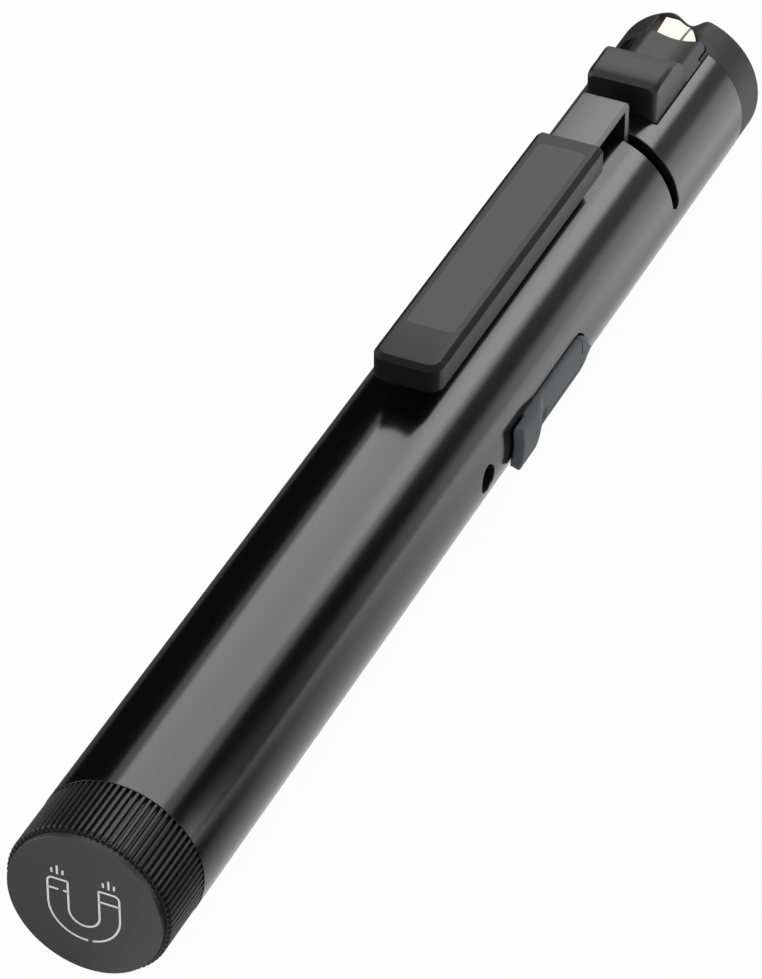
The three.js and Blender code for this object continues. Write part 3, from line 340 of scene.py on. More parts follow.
class Finish(NodeWork):
    """A material that is worked out at each place of a surface."""

    def __init__(self, name):
        self.material = bpy.data.materials.new(name)
        self.material.use_nodes = True
        super().__init__(self.material.node_tree)
        self.shader = self.nodes["Principled BSDF"]
        self.place = self.nodes.new("ShaderNodeTexCoord").outputs["Object"]

    def noise(self, size, detail=3.0, stretch=None):
        """Noise with features of a size in millimetres, stretched along an axis where asked."""
        node = self.nodes.new("ShaderNodeTexNoise")
        node.inputs["Scale"].default_value = 1.0 / (size * MM)
        node.inputs["Detail"].default_value = detail
        source = self.place
        if stretch is not None:
            mapping = self.nodes.new("ShaderNodeMapping")
            mapping.inputs["Scale"].default_value = stretch
            self.links.new(source, mapping.inputs["Vector"])
            source = mapping.outputs["Vector"]
        self.links.new(source, node.inputs["Vector"])
        return node.outputs["Fac"]

    def blend(self, factor, first, second):
        """A colour between two, by a factor."""
        node = self.nodes.new("ShaderNodeMix")
        node.data_type = "RGBA"
        node.inputs["A"].default_value = (*first, 1.0)
        node.inputs["B"].default_value = (*second, 1.0)
        self.links.new(factor, node.inputs["Factor"])
        return node.outputs["Result"]

    def span(self, value, low, high, start=0.3, end=0.7):
        """A value carried from one range to another."""
        node = self.nodes.new("ShaderNodeMapRange")
        node.inputs["From Min"].default_value = start
        node.inputs["From Max"].default_value = end
        node.inputs["To Min"].default_value = low
        node.inputs["To Max"].default_value = high
        self.links.new(value, node.inputs["Value"])
        return node.outputs["Result"]

    def relief(self, height, depth):
        """Surface relief from a height, its depth in millimetres."""
        node = self.nodes.new("ShaderNodeBump")
        node.inputs["Strength"].default_value = 1.0
        node.inputs["Distance"].default_value = depth * MM
        self.links.new(height, node.inputs["Height"])
        self.links.new(node.outputs["Normal"], self.shader.inputs["Normal"])

    def axes(self):
        """The three Object coordinates as single values."""
        node = self.nodes.new("ShaderNodeSeparateXYZ")
        self.links.new(self.place, node.inputs["Vector"])
        return node.outputs

    def distance(self, value, middle):
        """Distance of a value from a middle, the same to both sides."""
        return self.combine("ABSOLUTE", self.combine("SUBTRACT", value, middle), 0.0)

    def shine(self, strength):
        """A plain light of a strength."""
        light = self.nodes.new("ShaderNodeEmission")
        self.links.new(strength, light.inputs["Strength"])
        return light.outputs["Emission"]

    def show(self, output):
        """Makes an output the surface, in place of the shader."""
        self.links.new(output, self.nodes["Material Output"].inputs["Surface"])

    def join(self, output, socket):
        """Links an output to one of the shader's sockets."""
        self.links.new(output, self.shader.inputs[socket])

    def set(self, socket, value):
        """Sets one of the shader's sockets."""
        self.shader.inputs[socket].default_value = value


def shade(colour, share):
    """A colour made lighter or darker by a share."""
    return tuple(min(1.0, channel * share) for channel in colour)


def moulded(name, colour, roughness, drift=0.12, spread=0.06, cloud=6.0, grain=0.18, depth=0.006,
            metallic=0.0, specular=0.5):
    """A moulded or coated surface: soft clouds of tone, fine grain in its roughness and its relief."""
    finish = Finish(name)
    clouds = finish.noise(cloud, 4.0)
    fine = finish.noise(grain, 2.0)
    tones = finish.blend(clouds, shade(colour, 1.0 - drift), shade(colour, 1.0 + drift))
    finish.join(tones, "Base Color")
    finish.join(finish.span(fine, roughness - spread, roughness + spread), "Roughness")
    finish.relief(fine, depth)
    finish.set("Metallic", metallic)
    finish.set("Specular IOR Level", specular)
    return finish


def record_colours():
    """Base colour of each material slot in the record."""
    return {entry["slot"]: entry["base_color"][:3] for entry in frame["record"]["materials"]}


def dress(piece, finish, body, slot, *nodes):
    """Gives a piece its finish and its body, and hides the frame nodes that it stands for. The slot is not
    used.
    """
    piece.data.materials.clear()
    piece.data.materials.append(finish.material)
    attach(piece, body)
    if nodes:
        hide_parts(*nodes)


def mark(piece, finish, chosen):
    """Gives a second finish to the chosen faces of a piece."""
    piece.data.materials.append(finish.material)
    piece.data.polygons.foreach_set("material_index", chosen.astype(np.int32))


# Settings that a user would change.
def length(name, text, size):
    """A setting for a length, its default in millimetres."""
    return FloatProperty(name=name, description=text, default=size * MM, unit="LENGTH")


def tint(name, text, *colour):
    """A setting for a colour."""
    return FloatVectorProperty(name=name, description=text, subtype="COLOR", default=colour)


def power(name, text, watts):
    """A setting for the power of a light."""
    return FloatProperty(name=name, description=text, default=watts, unit="POWER")


class TubeSettings(bpy.types.PropertyGroup):
    edge: length("Edge", "Rounding at the ends of the tube", 0.12)
    flare: length("Flare", "Bevel round each opening in the tube", 0.08)
    columns: IntProperty(name="Columns", description="Faces round the tube", default=192, min=48)
    colour: tint("Colour", "Black anodised finish", 0.003, 0.0031, 0.0033)


class TailSettings(bpy.types.PropertyGroup):
    ribs: IntProperty(name="Ribs", description="Grip ribs round the cap", default=80, min=12)
    rib_depth: length("Rib depth", "Depth of the grooves between ribs", 0.42)
    line: length("Line", "Width of the lines of the magnet sign", 0.2)
    face_colour: tint("Face colour", "Plastic of the end face", 0.052, 0.052, 0.052)
    sign_colour: tint("Sign colour", "Print of the magnet sign", 0.8, 0.8, 0.8)


class ClipSettings(bpy.types.PropertyGroup):
    bend: length("Bend", "Middle radius of the leaf's bend", 0.6)
    chamfer: length("Chamfer", "Chamfer along the pad", 0.47)
    pad_colour: tint("Pad colour", "Plastic of the pad", 0.0145, 0.0145, 0.0147)
    # Painted shade: a darker colour for the pad's chamfers, ends and underside.
    edge_shade_colour: tint("Edge colour", "Painted shade on the pad's chamfers and ends", 0.0055, 0.0055, 0.0056)
    inlay_colour: tint("Inlay colour", "Plastic of the inlay", 0.105, 0.105, 0.106)
    leaf_colour: tint("Leaf colour", "Coated spring leaf", 0.02, 0.02, 0.02)


class HeadSettings(bpy.types.PropertyGroup):
    bevel: length("Bevel", "Soft edge of the button block", 0.07)
    colour: tint("Colour", "Charcoal plastic of button and head", 0.0052, 0.0052, 0.0053)
    glow: tint("Glow", "Light of the side window", 0.965, 0.985, 0.84)


class PortSettings(bpy.types.PropertyGroup):
    colour: tint("Colour", "Rubber of the port cover", 0.046, 0.053, 0.056)
    groove: length("Groove", "Width of the line along the cover", 0.4)


class StageSettings(bpy.types.PropertyGroup):
    key_power: power("Key", "Power of the overhead soft light", 2.0)
    low_key_power: power("Low key", "Power of the small light beside the overhead one", 0.15)
    side_power: power("Side", "Power of the right-hand soft light", 0.5)
    left_power: power("Left", "Power of the left-hand soft light", 0.9)
    front_power: power("Front", "Power of the soft light facing the tail", 1.8)
    ambient: FloatProperty(name="Ambient", description="Even light from all round", default=0.25)
    floor: tint("Floor", "Pale floor", 0.9, 0.9, 0.9)


# Tube.
def opening_cutter(name, centre, half, low, high, corner, flare, depth=3.0, straight=4):
    """A cutter for a rounded opening in the tube, its section carried round the tube's angle.

    At each angle the section runs from the opening's lower edge to its upper edge, both set in at the ends by
    the corner's circle, and widens by the flare at the tube's surface, so that the edge comes out beveled.
    """
    turn = np.radians(np.linspace(0.0, 89.0, 10))
    flat = half - corner
    middle = np.linspace(-flat, flat, straight + 2)[1:-1]
    levels = ((BODY_RADIUS - depth, 0.0), (BODY_RADIUS - flare, 0.0), (BODY_RADIUS, flare),
              (BODY_RADIUS + 1.0, flare + 1.0))
    lower, upper = [], []
    for radius, growth in levels:
        bend = (corner + growth) * np.sin(turn)
        dip = (corner + growth) * (1.0 - np.cos(turn))
        round_tube = np.concatenate([-flat - bend[::-1], middle, flat + bend])
        inset = np.concatenate([dip[::-1], np.zeros(straight), dip])
        angle = centre + round_tube / BODY_RADIUS
        lower.append(polar(radius, angle, low - growth + inset))
        upper.append(polar(radius, angle, high + growth - inset))
    return loft(name, [np.stack(lower + upper[::-1], axis=1)])


class TORCH_OT_tube(bpy.types.Operator):
    """Long tube: a turned wall with openings for the clip's leg, the port, the charge light and the button"""
    bl_idname = "torch.tube"
    bl_label = "Tube"

    def execute(self, context):
        sizes = context.scene.torch_tube
        edge = sizes.edge / MM
        flare = sizes.flare / MM
        crisp = 0.4 * edge
        profile = [(BORE_RADIUS, BARREL_START),
                   *quarter(BODY_RADIUS - crisp, BARREL_START + crisp, crisp, -90, 0),
                   *quarter(BODY_RADIUS - edge, BARREL_END - edge, edge, 0, 90), (BORE_RADIUS, BARREL_END)]
        tube = loft("tube", [turned(profile, sizes.columns)], wrap=True)
        half_slot = SLOT_WIDTH / 2
        half_port = BODY_RADIUS * math.asin((COVER_HALF_WIDTH + 0.2) / BODY_RADIUS)
        room = TONGUE_HIGH[0] + OPENING_GAP
        plan = rounded_outline(-room, room, TONGUE_LOW[1] - OPENING_GAP, BARREL_END + 5.0, 0.5, 0.1)
        cutters = [opening_cutter("slot_cutter", 0.0, BODY_RADIUS * SLOT_REACH, SLOT_PLACE - half_slot,
                                  SLOT_PLACE + half_slot, half_slot, flare, straight=60),
                   opening_cutter("port_cutter", PORT_ANGLE, half_port, COVER_TAIL - OPENING_GAP,
                                  COVER_HEAD + OPENING_GAP, 1.75, flare),
                   opening_cutter("light_cutter", LIGHT_ANGLE, LIGHT_HOLE, LIGHT_PLACE - LIGHT_HOLE,
                                  LIGHT_PLACE + LIGHT_HOLE, LIGHT_HOLE, flare, straight=1),
                   loft("button_cutter", [stacked(((3.0, plan), (12.0, plan)))])]
        cut_away(tube, cutters)
        round_normals(tube, BODY_RADIUS)
        black = moulded("black_anodised", sizes.colour, 0.165, drift=0.1, spread=0.015, cloud=9.0, grain=0.12,
                        depth=0.0003)
        dress(tube, black, "torch_body", "anodised_black", "barrel")
        # Walls of the bore and the openings get half the tube's colour and little gloss: painted shade, so
        # the slot and openings read black.
        inside = moulded("tube_walls_painted_shade", shade(sizes.colour, 0.5), 0.7, specular=0.1)
        mark(tube, inside, outward(tube) < 0.3)
        return {"FINISHED"}


# Tail.
def ribbed_cap(sizes):
    """Rings of the cap: a turned profile whose grip section rises and falls with the angle.

    Each rib is a cosine of the rib count times the angle, squared off by a smooth step, and it rises from the
    tail end. The plug's thread is a cosine of the place over the pitch less the angle.
    """
    depth = sizes.rib_depth / MM
    columns = sizes.ribs * 10
    angle = all_round(columns)
    rib = smooth(-0.55, 0.35, np.cos(sizes.ribs * angle))
    start = CAP_LOW[1]
    root = CAP_RADIUS - depth
    ends = np.array([0.0, 0.03, 0.08, 0.15, 0.24, 0.35])
    along = np.concatenate([start + ends, np.linspace(start + 0.9, RIB_END - 0.9, 6), RIB_END - ends[2::-1]])
    front_end = np.clip((along - start) / 0.24, 0.0, 1.0)
    rise = np.sqrt(1.0 - (1.0 - front_end) ** 2)
    grip = polar(root + depth * rib[None, :] * rise[:, None], angle[None, :], along[:, None])
    pocket = MAGNET_RADIUS + 0.15
    front = turned([(0.4, MAGNET_END + 0.05), (pocket, MAGNET_END + 0.05), (pocket, start),
                    (root - 0.02, start)], columns)
    groove = KNURL_END + 1.45
    groove_floor = PLUG_RADIUS - 0.6
    neck = turned([(root - 0.02, RIB_END), (PLUG_RADIUS + 0.05, RIB_END), (PLUG_RADIUS, RIB_END + 0.05),
                   (PLUG_RADIUS, groove - 0.5), (groove_floor, groove - 0.5), (groove_floor, groove + 0.5),
                   (PLUG_RADIUS, groove + 0.5)], columns)
    plug_end = CAP_HIGH[1]
    thread_along = np.linspace(groove + 0.75, plug_end - 0.3, 24)
    wave = 0.5 + 0.5 * np.cos(2.0 * math.pi * thread_along[:, None] - angle[None, :])
    fade = smooth(groove + 0.7, groove + 1.2, thread_along)
    thread = polar(PLUG_RADIUS - 0.32 * wave * fade[:, None], angle[None, :], thread_along[:, None])
    inner = PLUG_RADIUS - PLUG_WALL
    back = turned([(PLUG_RADIUS - 0.35, plug_end), (inner, plug_end), (inner, CONTACT_FLOOR),
                   (0.4, CONTACT_FLOOR)], columns)
    return np.concatenate([front, grip, neck, thread, back])


def ribbon(path, width, height=0.02, sunk=0.03):
    """Rings of a printed line: a low flat-topped profile carried along a path in the end face."""
    path = np.asarray(path, dtype=float)
    across = np.array([-0.5, -0.42, 0.42, 0.5, 0.5, -0.5]) * width
    out = np.array([-0.4 * height, -height, -height, -0.4 * height, sunk, sunk])
    flat = path[:, None, :] + beside(path)[:, None, :] * across[None, :, None]
    rise = np.broadcast_to(out, flat.shape[:2])
    return np.stack([flat[..., 0], rise, flat[..., 1]], axis=-1)


def bow(centre, radius, start, stop, steps=24):
    """Points of an arc in the end face, between two angles in degrees."""
    angle = np.radians(np.linspace(start, stop, steps))
    return np.stack([radius * np.cos(angle), centre + radius * np.sin(angle)], axis=-1)


def magnet_sign(width):
    """Lines of the magnet sign: an open horseshoe with a band on each pole and three strokes over each."""
    outer, inner = 3.46, 1.49
    top, band, round_centre, bore_centre = 2.23, 1.03, -0.49, -0.87
    corner = 0.5
    turn = np.radians(np.linspace(90.0, 180.0, 8))
    corner_x = -outer + corner + corner * np.cos(turn)
    left_corner = np.stack([corner_x, top - corner + corner * np.sin(turn)], axis=-1)
    left = np.concatenate([[[-inner, top], [-2.4, top]], left_corner, [[-outer, 0.5]],
                           bow(round_centre, outer, 180, 275)])
    right = np.concatenate([bow(round_centre, outer, 282, 360), [[outer, 0.5]],
                            (left_corner * (-1.0, 1.0))[::-1], [[2.4, top], [inner, top]]])
    bore = np.concatenate([[[-inner, top], [-inner, 0.5]], bow(bore_centre, inner, 180, 360),
                           [[inner, 0.5], [inner, top]]])
    lines = [left, right, bore, [[-outer, band], [-2.41, band]], [[-1.94, band], [-inner, band]],
             [[inner, band], [outer, band]]]
    for pole in (-2.47, 2.47):
        lines.append([[pole, 2.78], [pole, 3.75]])
        for lean in (-1.0, 1.0):
            lines.append([[pole + 0.52 * lean, 2.85], [pole + 0.55 * lean, 3.35]])
    return [ribbon(line, width) for line in lines]


class TORCH_OT_tail(bpy.types.Operator):
    """Tail: ribbed cap with its threaded plug, end face and printed magnet sign"""
    bl_idname = "torch.tail"
    bl_label = "Tail"

    def execute(self, context):
        sizes = context.scene.torch_tail
        cap = loft("tail_cap_ribbed", [ribbed_cap(sizes)], sharp=40.0)
        black = moulded("black_anodised_grip", shade(context.scene.torch_tube.colour, 2.0), 0.42, drift=0.15,
                        spread=0.05, cloud=3.0, grain=0.1, depth=0.001, specular=0.38)
        dress(cap, black, "tail", "anodised_black", "tail_cap")
        lip = 0.05
        profile = [(0.4, 0.0), (FACE_RADIUS - 1.0, 0.0), *quarter(FACE_RADIUS - lip, lip, lip, -90, 0),
                   (FACE_RADIUS, FACE_END), (0.4, FACE_END)]
        face = loft("tail_face", [turned(profile, 144)])
        plastic = moulded("face_plastic_matte", sizes.face_colour, 0.62, drift=0.06, spread=0.06, cloud=5.0,
                          grain=0.14, depth=0.004)
        dress(face, plastic, "tail", "face_plastic", "tail_face_plate")
        # The face plate's rim takes the black grip finish: painted shade at the joint between face and ribs,
        # where its edge would catch light.
        mark(face, black, np.abs(normals(face)[1]) < 0.5)
        sign = loft("magnet_sign", magnet_sign(sizes.line / MM))
        print_white = moulded("sign_print", sizes.sign_colour, 0.55, drift=0.05, spread=0.05, cloud=1.2,
                              grain=0.1, depth=0.002)
        dress(sign, print_white, "tail", "face_plastic")
        return {"FINISHED"}


# Clip.
INLAY_GAP = 0.01
INLAY_CORNER = 0.7


def leaf_rings(bend):
    """Rings of the leaf: a rounded strip section carried along the arm, round the bend and down the leg."""
    half_thick = 0.5
    arm = LEAF_HIGH[2] - half_thick
    leg = LEAF_HIGH[1] - half_thick
    turn = np.radians(np.linspace(90.0, 0.0, 12))
    bend_y = leg - bend + bend * np.cos(turn)
    bend_z = arm - bend + bend * np.sin(turn)
    arm_places = np.linspace(LEAF_LOW[1] + 8.0, leg - bend - 0.5, 6)
    along = np.concatenate([[LEAF_LOW[1]], arm_places, bend_y, [leg, leg]])
    level = np.concatenate([[arm] * 7, bend_z, [8.0, LEAF_LOW[2]]])
    path = np.stack([along, level], axis=-1)
    half = LEAF_HIGH[0]
    section = rounded_outline(-half, half, -half_thick, half_thick, 0.13, 0.13, arc=4)
    place = path[:, None, :] + beside(path)[:, None, :] * section[None, :, 1, None]
    across = np.broadcast_to(section[:, 0], place.shape[:2])
    return np.stack([across, place[..., 0], place[..., 1]], axis=-1)


def pad_rings(chamfer):
    """Rings of the pad: its rounded plan carried up the sides, in along the chamfer and into the recess."""
    half, tip, front = PAD_HIGH[0], PAD_LOW[1], PAD_HIGH[1]
    bottom, top = PAD_LOW[2], PAD_HIGH[2]

    def plan(inset):
        return rounded_outline(-half + inset, half - inset, tip + 1.15 * inset, front - 0.15 * inset,
                               1.4 - 0.6 * inset, 0.2)

    recess_half = INLAY_HIGH[0] + INLAY_GAP
    recess = rounded_outline(-recess_half, recess_half, INLAY_LOW[1] - INLAY_GAP, INLAY_HIGH[1] + INLAY_GAP,
                             INLAY_CORNER + INLAY_GAP, INLAY_CORNER + INLAY_GAP)
    levels = ((bottom, plan(0.25)), (bottom + 0.12, plan(0.06)), (bottom + 0.3, plan(0.0)),
              (top - chamfer - 0.04, plan(0.0)), (top - chamfer, plan(0.015)), (top - 0.02, plan(chamfer)),
              (top, plan(chamfer + 0.06)), (top, recess), (top - 0.35, recess))
    return stacked(levels)


def inlay_rings():
    """Rings of the inlay: a thin rounded plate with softly rounded upper edges."""
    half, tip, front = INLAY_HIGH[0], INLAY_LOW[1], INLAY_HIGH[1]
    bottom, top = INLAY_LOW[2], INLAY_HIGH[2]

    def plan(inset):
        corner = INLAY_CORNER - inset
        return rounded_outline(-half + inset, half - inset, tip + inset, front - inset, corner, corner)

    return stacked(((bottom, plan(0.0)), (top - 0.02, plan(0.0)), (top, plan(0.02))))


class TORCH_OT_clip(bpy.types.Operator):
    """Clip: bent spring leaf, moulded pad and the inlay in its top"""
    bl_idname = "torch.clip"
    bl_label = "Clip"

    def execute(self, context):
        sizes = context.scene.torch_clip
        leaf = loft("clip_spring_leaf", [leaf_rings(sizes.bend / MM)])
        steel = moulded("leaf_coated_steel", sizes.leaf_colour, 0.47, drift=0.05, spread=0.04, cloud=4.0,
                        grain=0.1, depth=0.001, specular=0.95)
        dress(leaf, steel, "clip", "spring_steel", "clip_leaf")
        # Faces that look back and down, under the arm and inside the leg, get a near-black finish: painted
        # shade.
        inner = moulded("leaf_inner_painted_shade", shade(sizes.leaf_colour, 0.15), 0.6, specular=0.08)
        _, along, up = normals(leaf)
        mark(leaf, inner, along + up < -0.9)
        pad = loft("clip_grip_pad", [pad_rings(sizes.chamfer / MM)], sharp=20.0)
        plastic = moulded("pad_plastic_grained", sizes.pad_colour, 0.52, drift=0.07, spread=0.04, cloud=7.0,
                          grain=0.13, depth=0.0015, specular=0.3)
        dress(pad, plastic, "clip", "pad_plastic", "clip_pad")
        # Faces of the pad that are neither sides nor top (chamfers, ends, underside) get a darker, duller
        # finish: painted shade where they turn from the light.
        pad_edge_shade = moulded("pad_edge_painted_shade", sizes.edge_shade_colour, 0.5, drift=0.05, spread=0.03, cloud=7.0,
                           grain=0.13, depth=0.001, specular=0.13)
        across, _, up = np.abs(normals(pad))
        mark(pad, pad_edge_shade, (across < 0.9) & (up < 0.95))
        inlay = loft("clip_inlay", [inlay_rings()], sharp=40.0)
        lighter = moulded("inlay_plastic_grained", sizes.inlay_colour, 0.6, drift=0.04, spread=0.04,
                          cloud=8.0, grain=0.13, depth=0.0015, specular=0.13)
        dress(inlay, lighter, "clip", "inlay_plastic", "clip_pad_inlay")
        return {"FINISHED"}


# Button and head.
BLOCK_FLAT = 3.7
BLOCK_LENGTH = 8.7
BEVEL_END = 1.1
BEVEL_DROP = 0.42
BEVEL_WIDTH = 0.43
EAR_FLOOR = 5.4
WINDOW_SEAM = 0.33
WINDOW_EDGE = ((136.05, 2.15), (136.35, 2.0), (137.2, 1.52), (138.46, 0.71), (139.0, 0.32), (139.37, 0.0))


def button_half(along):
    """Half width of the button in plan: the wide slab with rounded rear corners, then the rounded neck."""
    rear, front = TONGUE_LOW[1], TONGUE_HIGH[1]
    half = np.where(along < NECK_START, TONGUE_HIGH[0], NECK_HALF)
    back = np.clip(1.0 - (along - rear) / BLOCK_CORNER, 0.0, 1.0)
    half = half - BLOCK_CORNER * (1.0 - np.sqrt(1.0 - back ** 2))
    ahead = np.clip(1.0 - (front - along) / NECK_CORNER, 0.0, 1.0)
    return half - NECK_CORNER * (1.0 - np.sqrt(1.0 - ahead ** 2))


def lower_of(first, second, blend):
    """The lower of two heights, with a rounded change from one to the other."""
    return 0.5 * (first + second) - 0.5 * np.sqrt((first - second) ** 2 + blend ** 2)


def hollow_top(x, tube):
    """Height of the trough in the button and head: a round hollow with a soft edge at the tube."""
    hollow = HOLLOW_FLOOR + HOLLOW_RADIUS - np.sqrt(HOLLOW_RADIUS ** 2 - np.minimum(np.abs(x), 5.0) ** 2)
    return lower_of(tube, hollow, 0.4)


def button_rings():
    """Rings of the button: its cross-section carried from the block's rear face to the tongue's front end.

    The top is the block's height, which bevels up, runs flat and falls along a quadratic curve, or below it
    the tongue: the tube's circle with a hollow of the trough's radius.
    """
    rear, front = TONGUE_LOW[1], TONGUE_HIGH[1]
    bottom, top = TONGUE_LOW[2], TONGUE_HIGH[2]
    flat_end, nose = rear + BLOCK_FLAT, rear + BLOCK_LENGTH
    fall = np.linspace(0.0, 1.0, 22)
    fall_y = (1 - fall) ** 2 * flat_end + 2 * fall * (1 - fall) * (nose - 1.4) + fall ** 2 * nose
    fall_z = (1 - fall) ** 2 * top + 2 * fall * (1 - fall) * top + fall ** 2 * (HOLLOW_FLOOR - 0.6)
    bend = rear + BLOCK_CORNER * (1.0 - np.cos(np.radians(np.linspace(0.0, 90.0, 7))))
    nose_end = front - NECK_CORNER * (1.0 - np.sin(np.radians(np.linspace(15.0, 90.0, 9))))
    slab = np.linspace(nose + 0.4, NECK_START - 0.02, 8)
    neck = np.linspace(NECK_START + 0.4, front - NECK_CORNER, 4)
    along = np.concatenate([bend, [rear + BEVEL_END, rear + 2.4], fall_y, slab, [NECK_START + 0.02], neck,
                            nose_end])
    height = np.interp(along, np.concatenate([[rear, rear + BEVEL_END], fall_y, [nose + 0.01, front]]),
                       np.concatenate([[top - BEVEL_DROP, top], fall_z, [0.0, 0.0]]))
    half = button_half(along)[:, None]
    x = np.linspace(-1.0, 1.0, 81)[None, :] * half
    chamfer = BEVEL_DROP * (1.0 - smooth(rear + 3.2, rear + 6.5, along))[:, None]
    slope = np.maximum(0.0, np.abs(x) - (half - BEVEL_WIDTH)) / BEVEL_WIDTH
    block = height[:, None] - chamfer * slope
    tube = np.sqrt(BODY_RADIUS ** 2 - x ** 2)
    base = np.where(along[:, None] < rear + 7.7, tube, hollow_top(x, tube))
    return over_floor(x, along, np.maximum(block, base), bottom)


def head_valley(x, along):
    """Height of the valley in the head's top: the button's hollow, then the bell of the front notch."""
    tube = np.sqrt(np.maximum(BEZEL_RADIUS ** 2 - x ** 2, 1.0))
    bottom = np.interp(along, [TONGUE_HIGH[1], BEZEL_HIGH[1]], [6.85, 6.4])
    bell = bottom + (7.65 - bottom) * (1.0 - np.exp(-((x - 0.1) / 1.35) ** 2))
    share = smooth(TONGUE_HIGH[1], TONGUE_HIGH[1] + 1.5, along)
    return hollow_top(x, tube) * (1.0 - share) + lower_of(bell, tube + 0.12, 0.3) * share


def window_side(along):
    """Place across of the window's right edge, which runs on a slant to the notch."""
    return np.interp(along, [place for place, _ in WINDOW_EDGE], [across for _, across in WINDOW_EDGE])


def bezel_opening(x, along):
    """Height of the opening in the bezel's top: the button's room, the valley and the window's pocket in it.

    The room follows the button's plan. The pocket is steep at its slanted right edge and at the front, and
    climbs out in a smooth step at the left.
    """
    gap = np.where((along < BARREL_END + 0.35) & (x > 0), OPENING_GAP, ROOM_GAP)
    inside = np.abs(x) < button_half(np.minimum(along, TONGUE_HIGH[1])) + gap
    room = np.where(inside & (along < TONGUE_HIGH[1] + ROOM_GAP), ROOM_FLOOR, ABOVE_TUBE)
    out = np.maximum(smooth(0.0, 0.12, x - window_side(along)), smooth(0.0, 0.85, POCKET_LEFT - x))
    out = np.maximum(out, smooth(POCKET_FRONT, POCKET_FRONT + 0.16, along))
    top = np.where(along > TONGUE_HIGH[1] - 0.9, head_valley(x, along), ABOVE_TUBE)
    pocket = np.where(along > TONGUE_HIGH[1] + ROOM_GAP, POCKET_FLOOR + (top - POCKET_FLOOR) * out, top)
    return np.minimum(room, pocket)


def bezel_rings():
    """Rings of the bezel: spigot, outer wall, rounded rim, mouth and bore, with the opening in the top."""
    top = np.radians(np.arange(-36.0, 36.1, 0.35))
    rest = np.radians(np.arange(39.0, 321.1, 3.0))
    angle = np.concatenate([top, rest])
    start, front = BEZEL_LOW[1], BEZEL_HIGH[1]
    spigot, bore, mouth, edge = BORE_RADIUS - 0.3, 5.35, 4.7, 0.5
    outer = [(spigot, start), (spigot, BARREL_END), (BEZEL_RADIUS - 0.06, BARREL_END),
             (BEZEL_RADIUS, BARREL_END + 0.06)]
    outer += [(BEZEL_RADIUS, y) for y in np.arange(BARREL_END + 0.12, front - edge, 0.06)]
    outer += quarter(BEZEL_RADIUS - edge, front - edge, edge, 0, 90, 10)
    inner = [(mouth + 1.1, front), (mouth, front - 1.1), (bore, front - 1.1), (bore, start)]
    profile = np.array(outer + inner)
    radius = np.broadcast_to(profile[:, 0, None], (len(profile), len(angle))).copy()
    along = profile[:, 1, None]
    count = len(outer)
    height = np.cos(angle)[None, :]
    for _ in range(3):
        x = radius[:count] * np.sin(angle)[None, :]
        cut = bezel_opening(x, along[:count]) / np.maximum(height, 0.2)
        cut = np.where(height > 0.79, cut, BODY_RADIUS)
        radius[:count] = np.minimum(profile[:count, 0, None], cut)
    return polar(radius, angle[None, :], along)


def ear_rings(side):
    """Rings of the ear beside the button's neck: a strip under the bezel's circle, fuller at the left."""
    inner, outer = (3.6, 3.85) if side > 0 else (3.49, 3.97)
    x = np.array([inner, outer, outer, inner]) * side
    z = np.sqrt(BEZEL_RADIUS ** 2 - x ** 2)
    z[2:] = EAR_FLOOR
    along = np.array([BARREL_END - 1.6, BARREL_END - 0.8, BARREL_END + 0.2])
    across = np.broadcast_to(x, (3, 4))
    level = np.broadcast_to(z, (3, 4))
    return np.stack([across, np.broadcast_to(along[:, None], (3, 4)), level], axis=-1)


def window_rings():
    """Rings of the lit window: its plan between the pocket's sides, under a tilted plane and the valley."""
    tail, head = WINDOW_LOW[1], WINDOW_HIGH[1]
    bottom, top = WINDOW_LOW[2], WINDOW_HIGH[2]
    along = np.linspace(tail, head, 33)
    share = np.linspace(0.0, 1.0, 41)[None, :]
    right = np.minimum(window_side(along) - 0.02, WINDOW_HIGH[0])[:, None]
    x = WINDOW_LOW[0] + (right - WINDOW_LOW[0]) * share
    plane = top + 0.34 * np.clip((along - tail - 0.3) / (head - tail - 0.3), 0.0, 1.0)[:, None]
    z = lower_of(np.broadcast_to(plane, x.shape), head_valley(x, along[:, None]) + 0.05, 0.1)
    return over_floor(x, along, z, bottom)


def lit_window(glow):
    """Glowing diffuser: pale light with a dimmer seam along it and soft clouds."""
    finish = Finish("window_glow")
    away = finish.distance(finish.axes()["X"], WINDOW_SEAM * MM)
    seam = finish.span(away, 0.0, 1.0, 0.08 * MM, 0.26 * MM)
    finish.join(finish.blend(seam, shade(glow, 0.12), glow), "Emission Color")
    finish.set("Emission Strength", 1.0)
    finish.join(finish.blend(finish.noise(0.8), (0.02, 0.02, 0.017), (0.03, 0.03, 0.026)), "Base Color")
    finish.set("Roughness", 0.4)
    finish.set("Specular IOR Level", 0.1)
    return finish


def paint_window_glow(finish, glow, middle, wide, tail, head):
    """Paints light from the window onto plastic next to it as a faint glow, near a middle across and between
    two places along.
    """
    place = finish.axes()
    near = finish.span(finish.distance(place["X"], middle * MM), 0.035, 0.0, 0.25 * wide * MM, wide * MM)
    ahead = finish.span(place["Y"], 0.0, 1.0, (tail - 0.25) * MM, tail * MM)
    behind = finish.span(place["Y"], 1.0, 0.0, head * MM, (head + 0.5) * MM)
    above = finish.span(place["Z"], 0.0, 1.0, 5.6 * MM, 6.2 * MM)
    finish.set("Emission Color", (glow[0] * 0.9, glow[1] * 0.9, glow[2] * 0.4, 1.0))
    finish.join(finish.combine("MULTIPLY", near, ahead, behind, above), "Emission Strength")


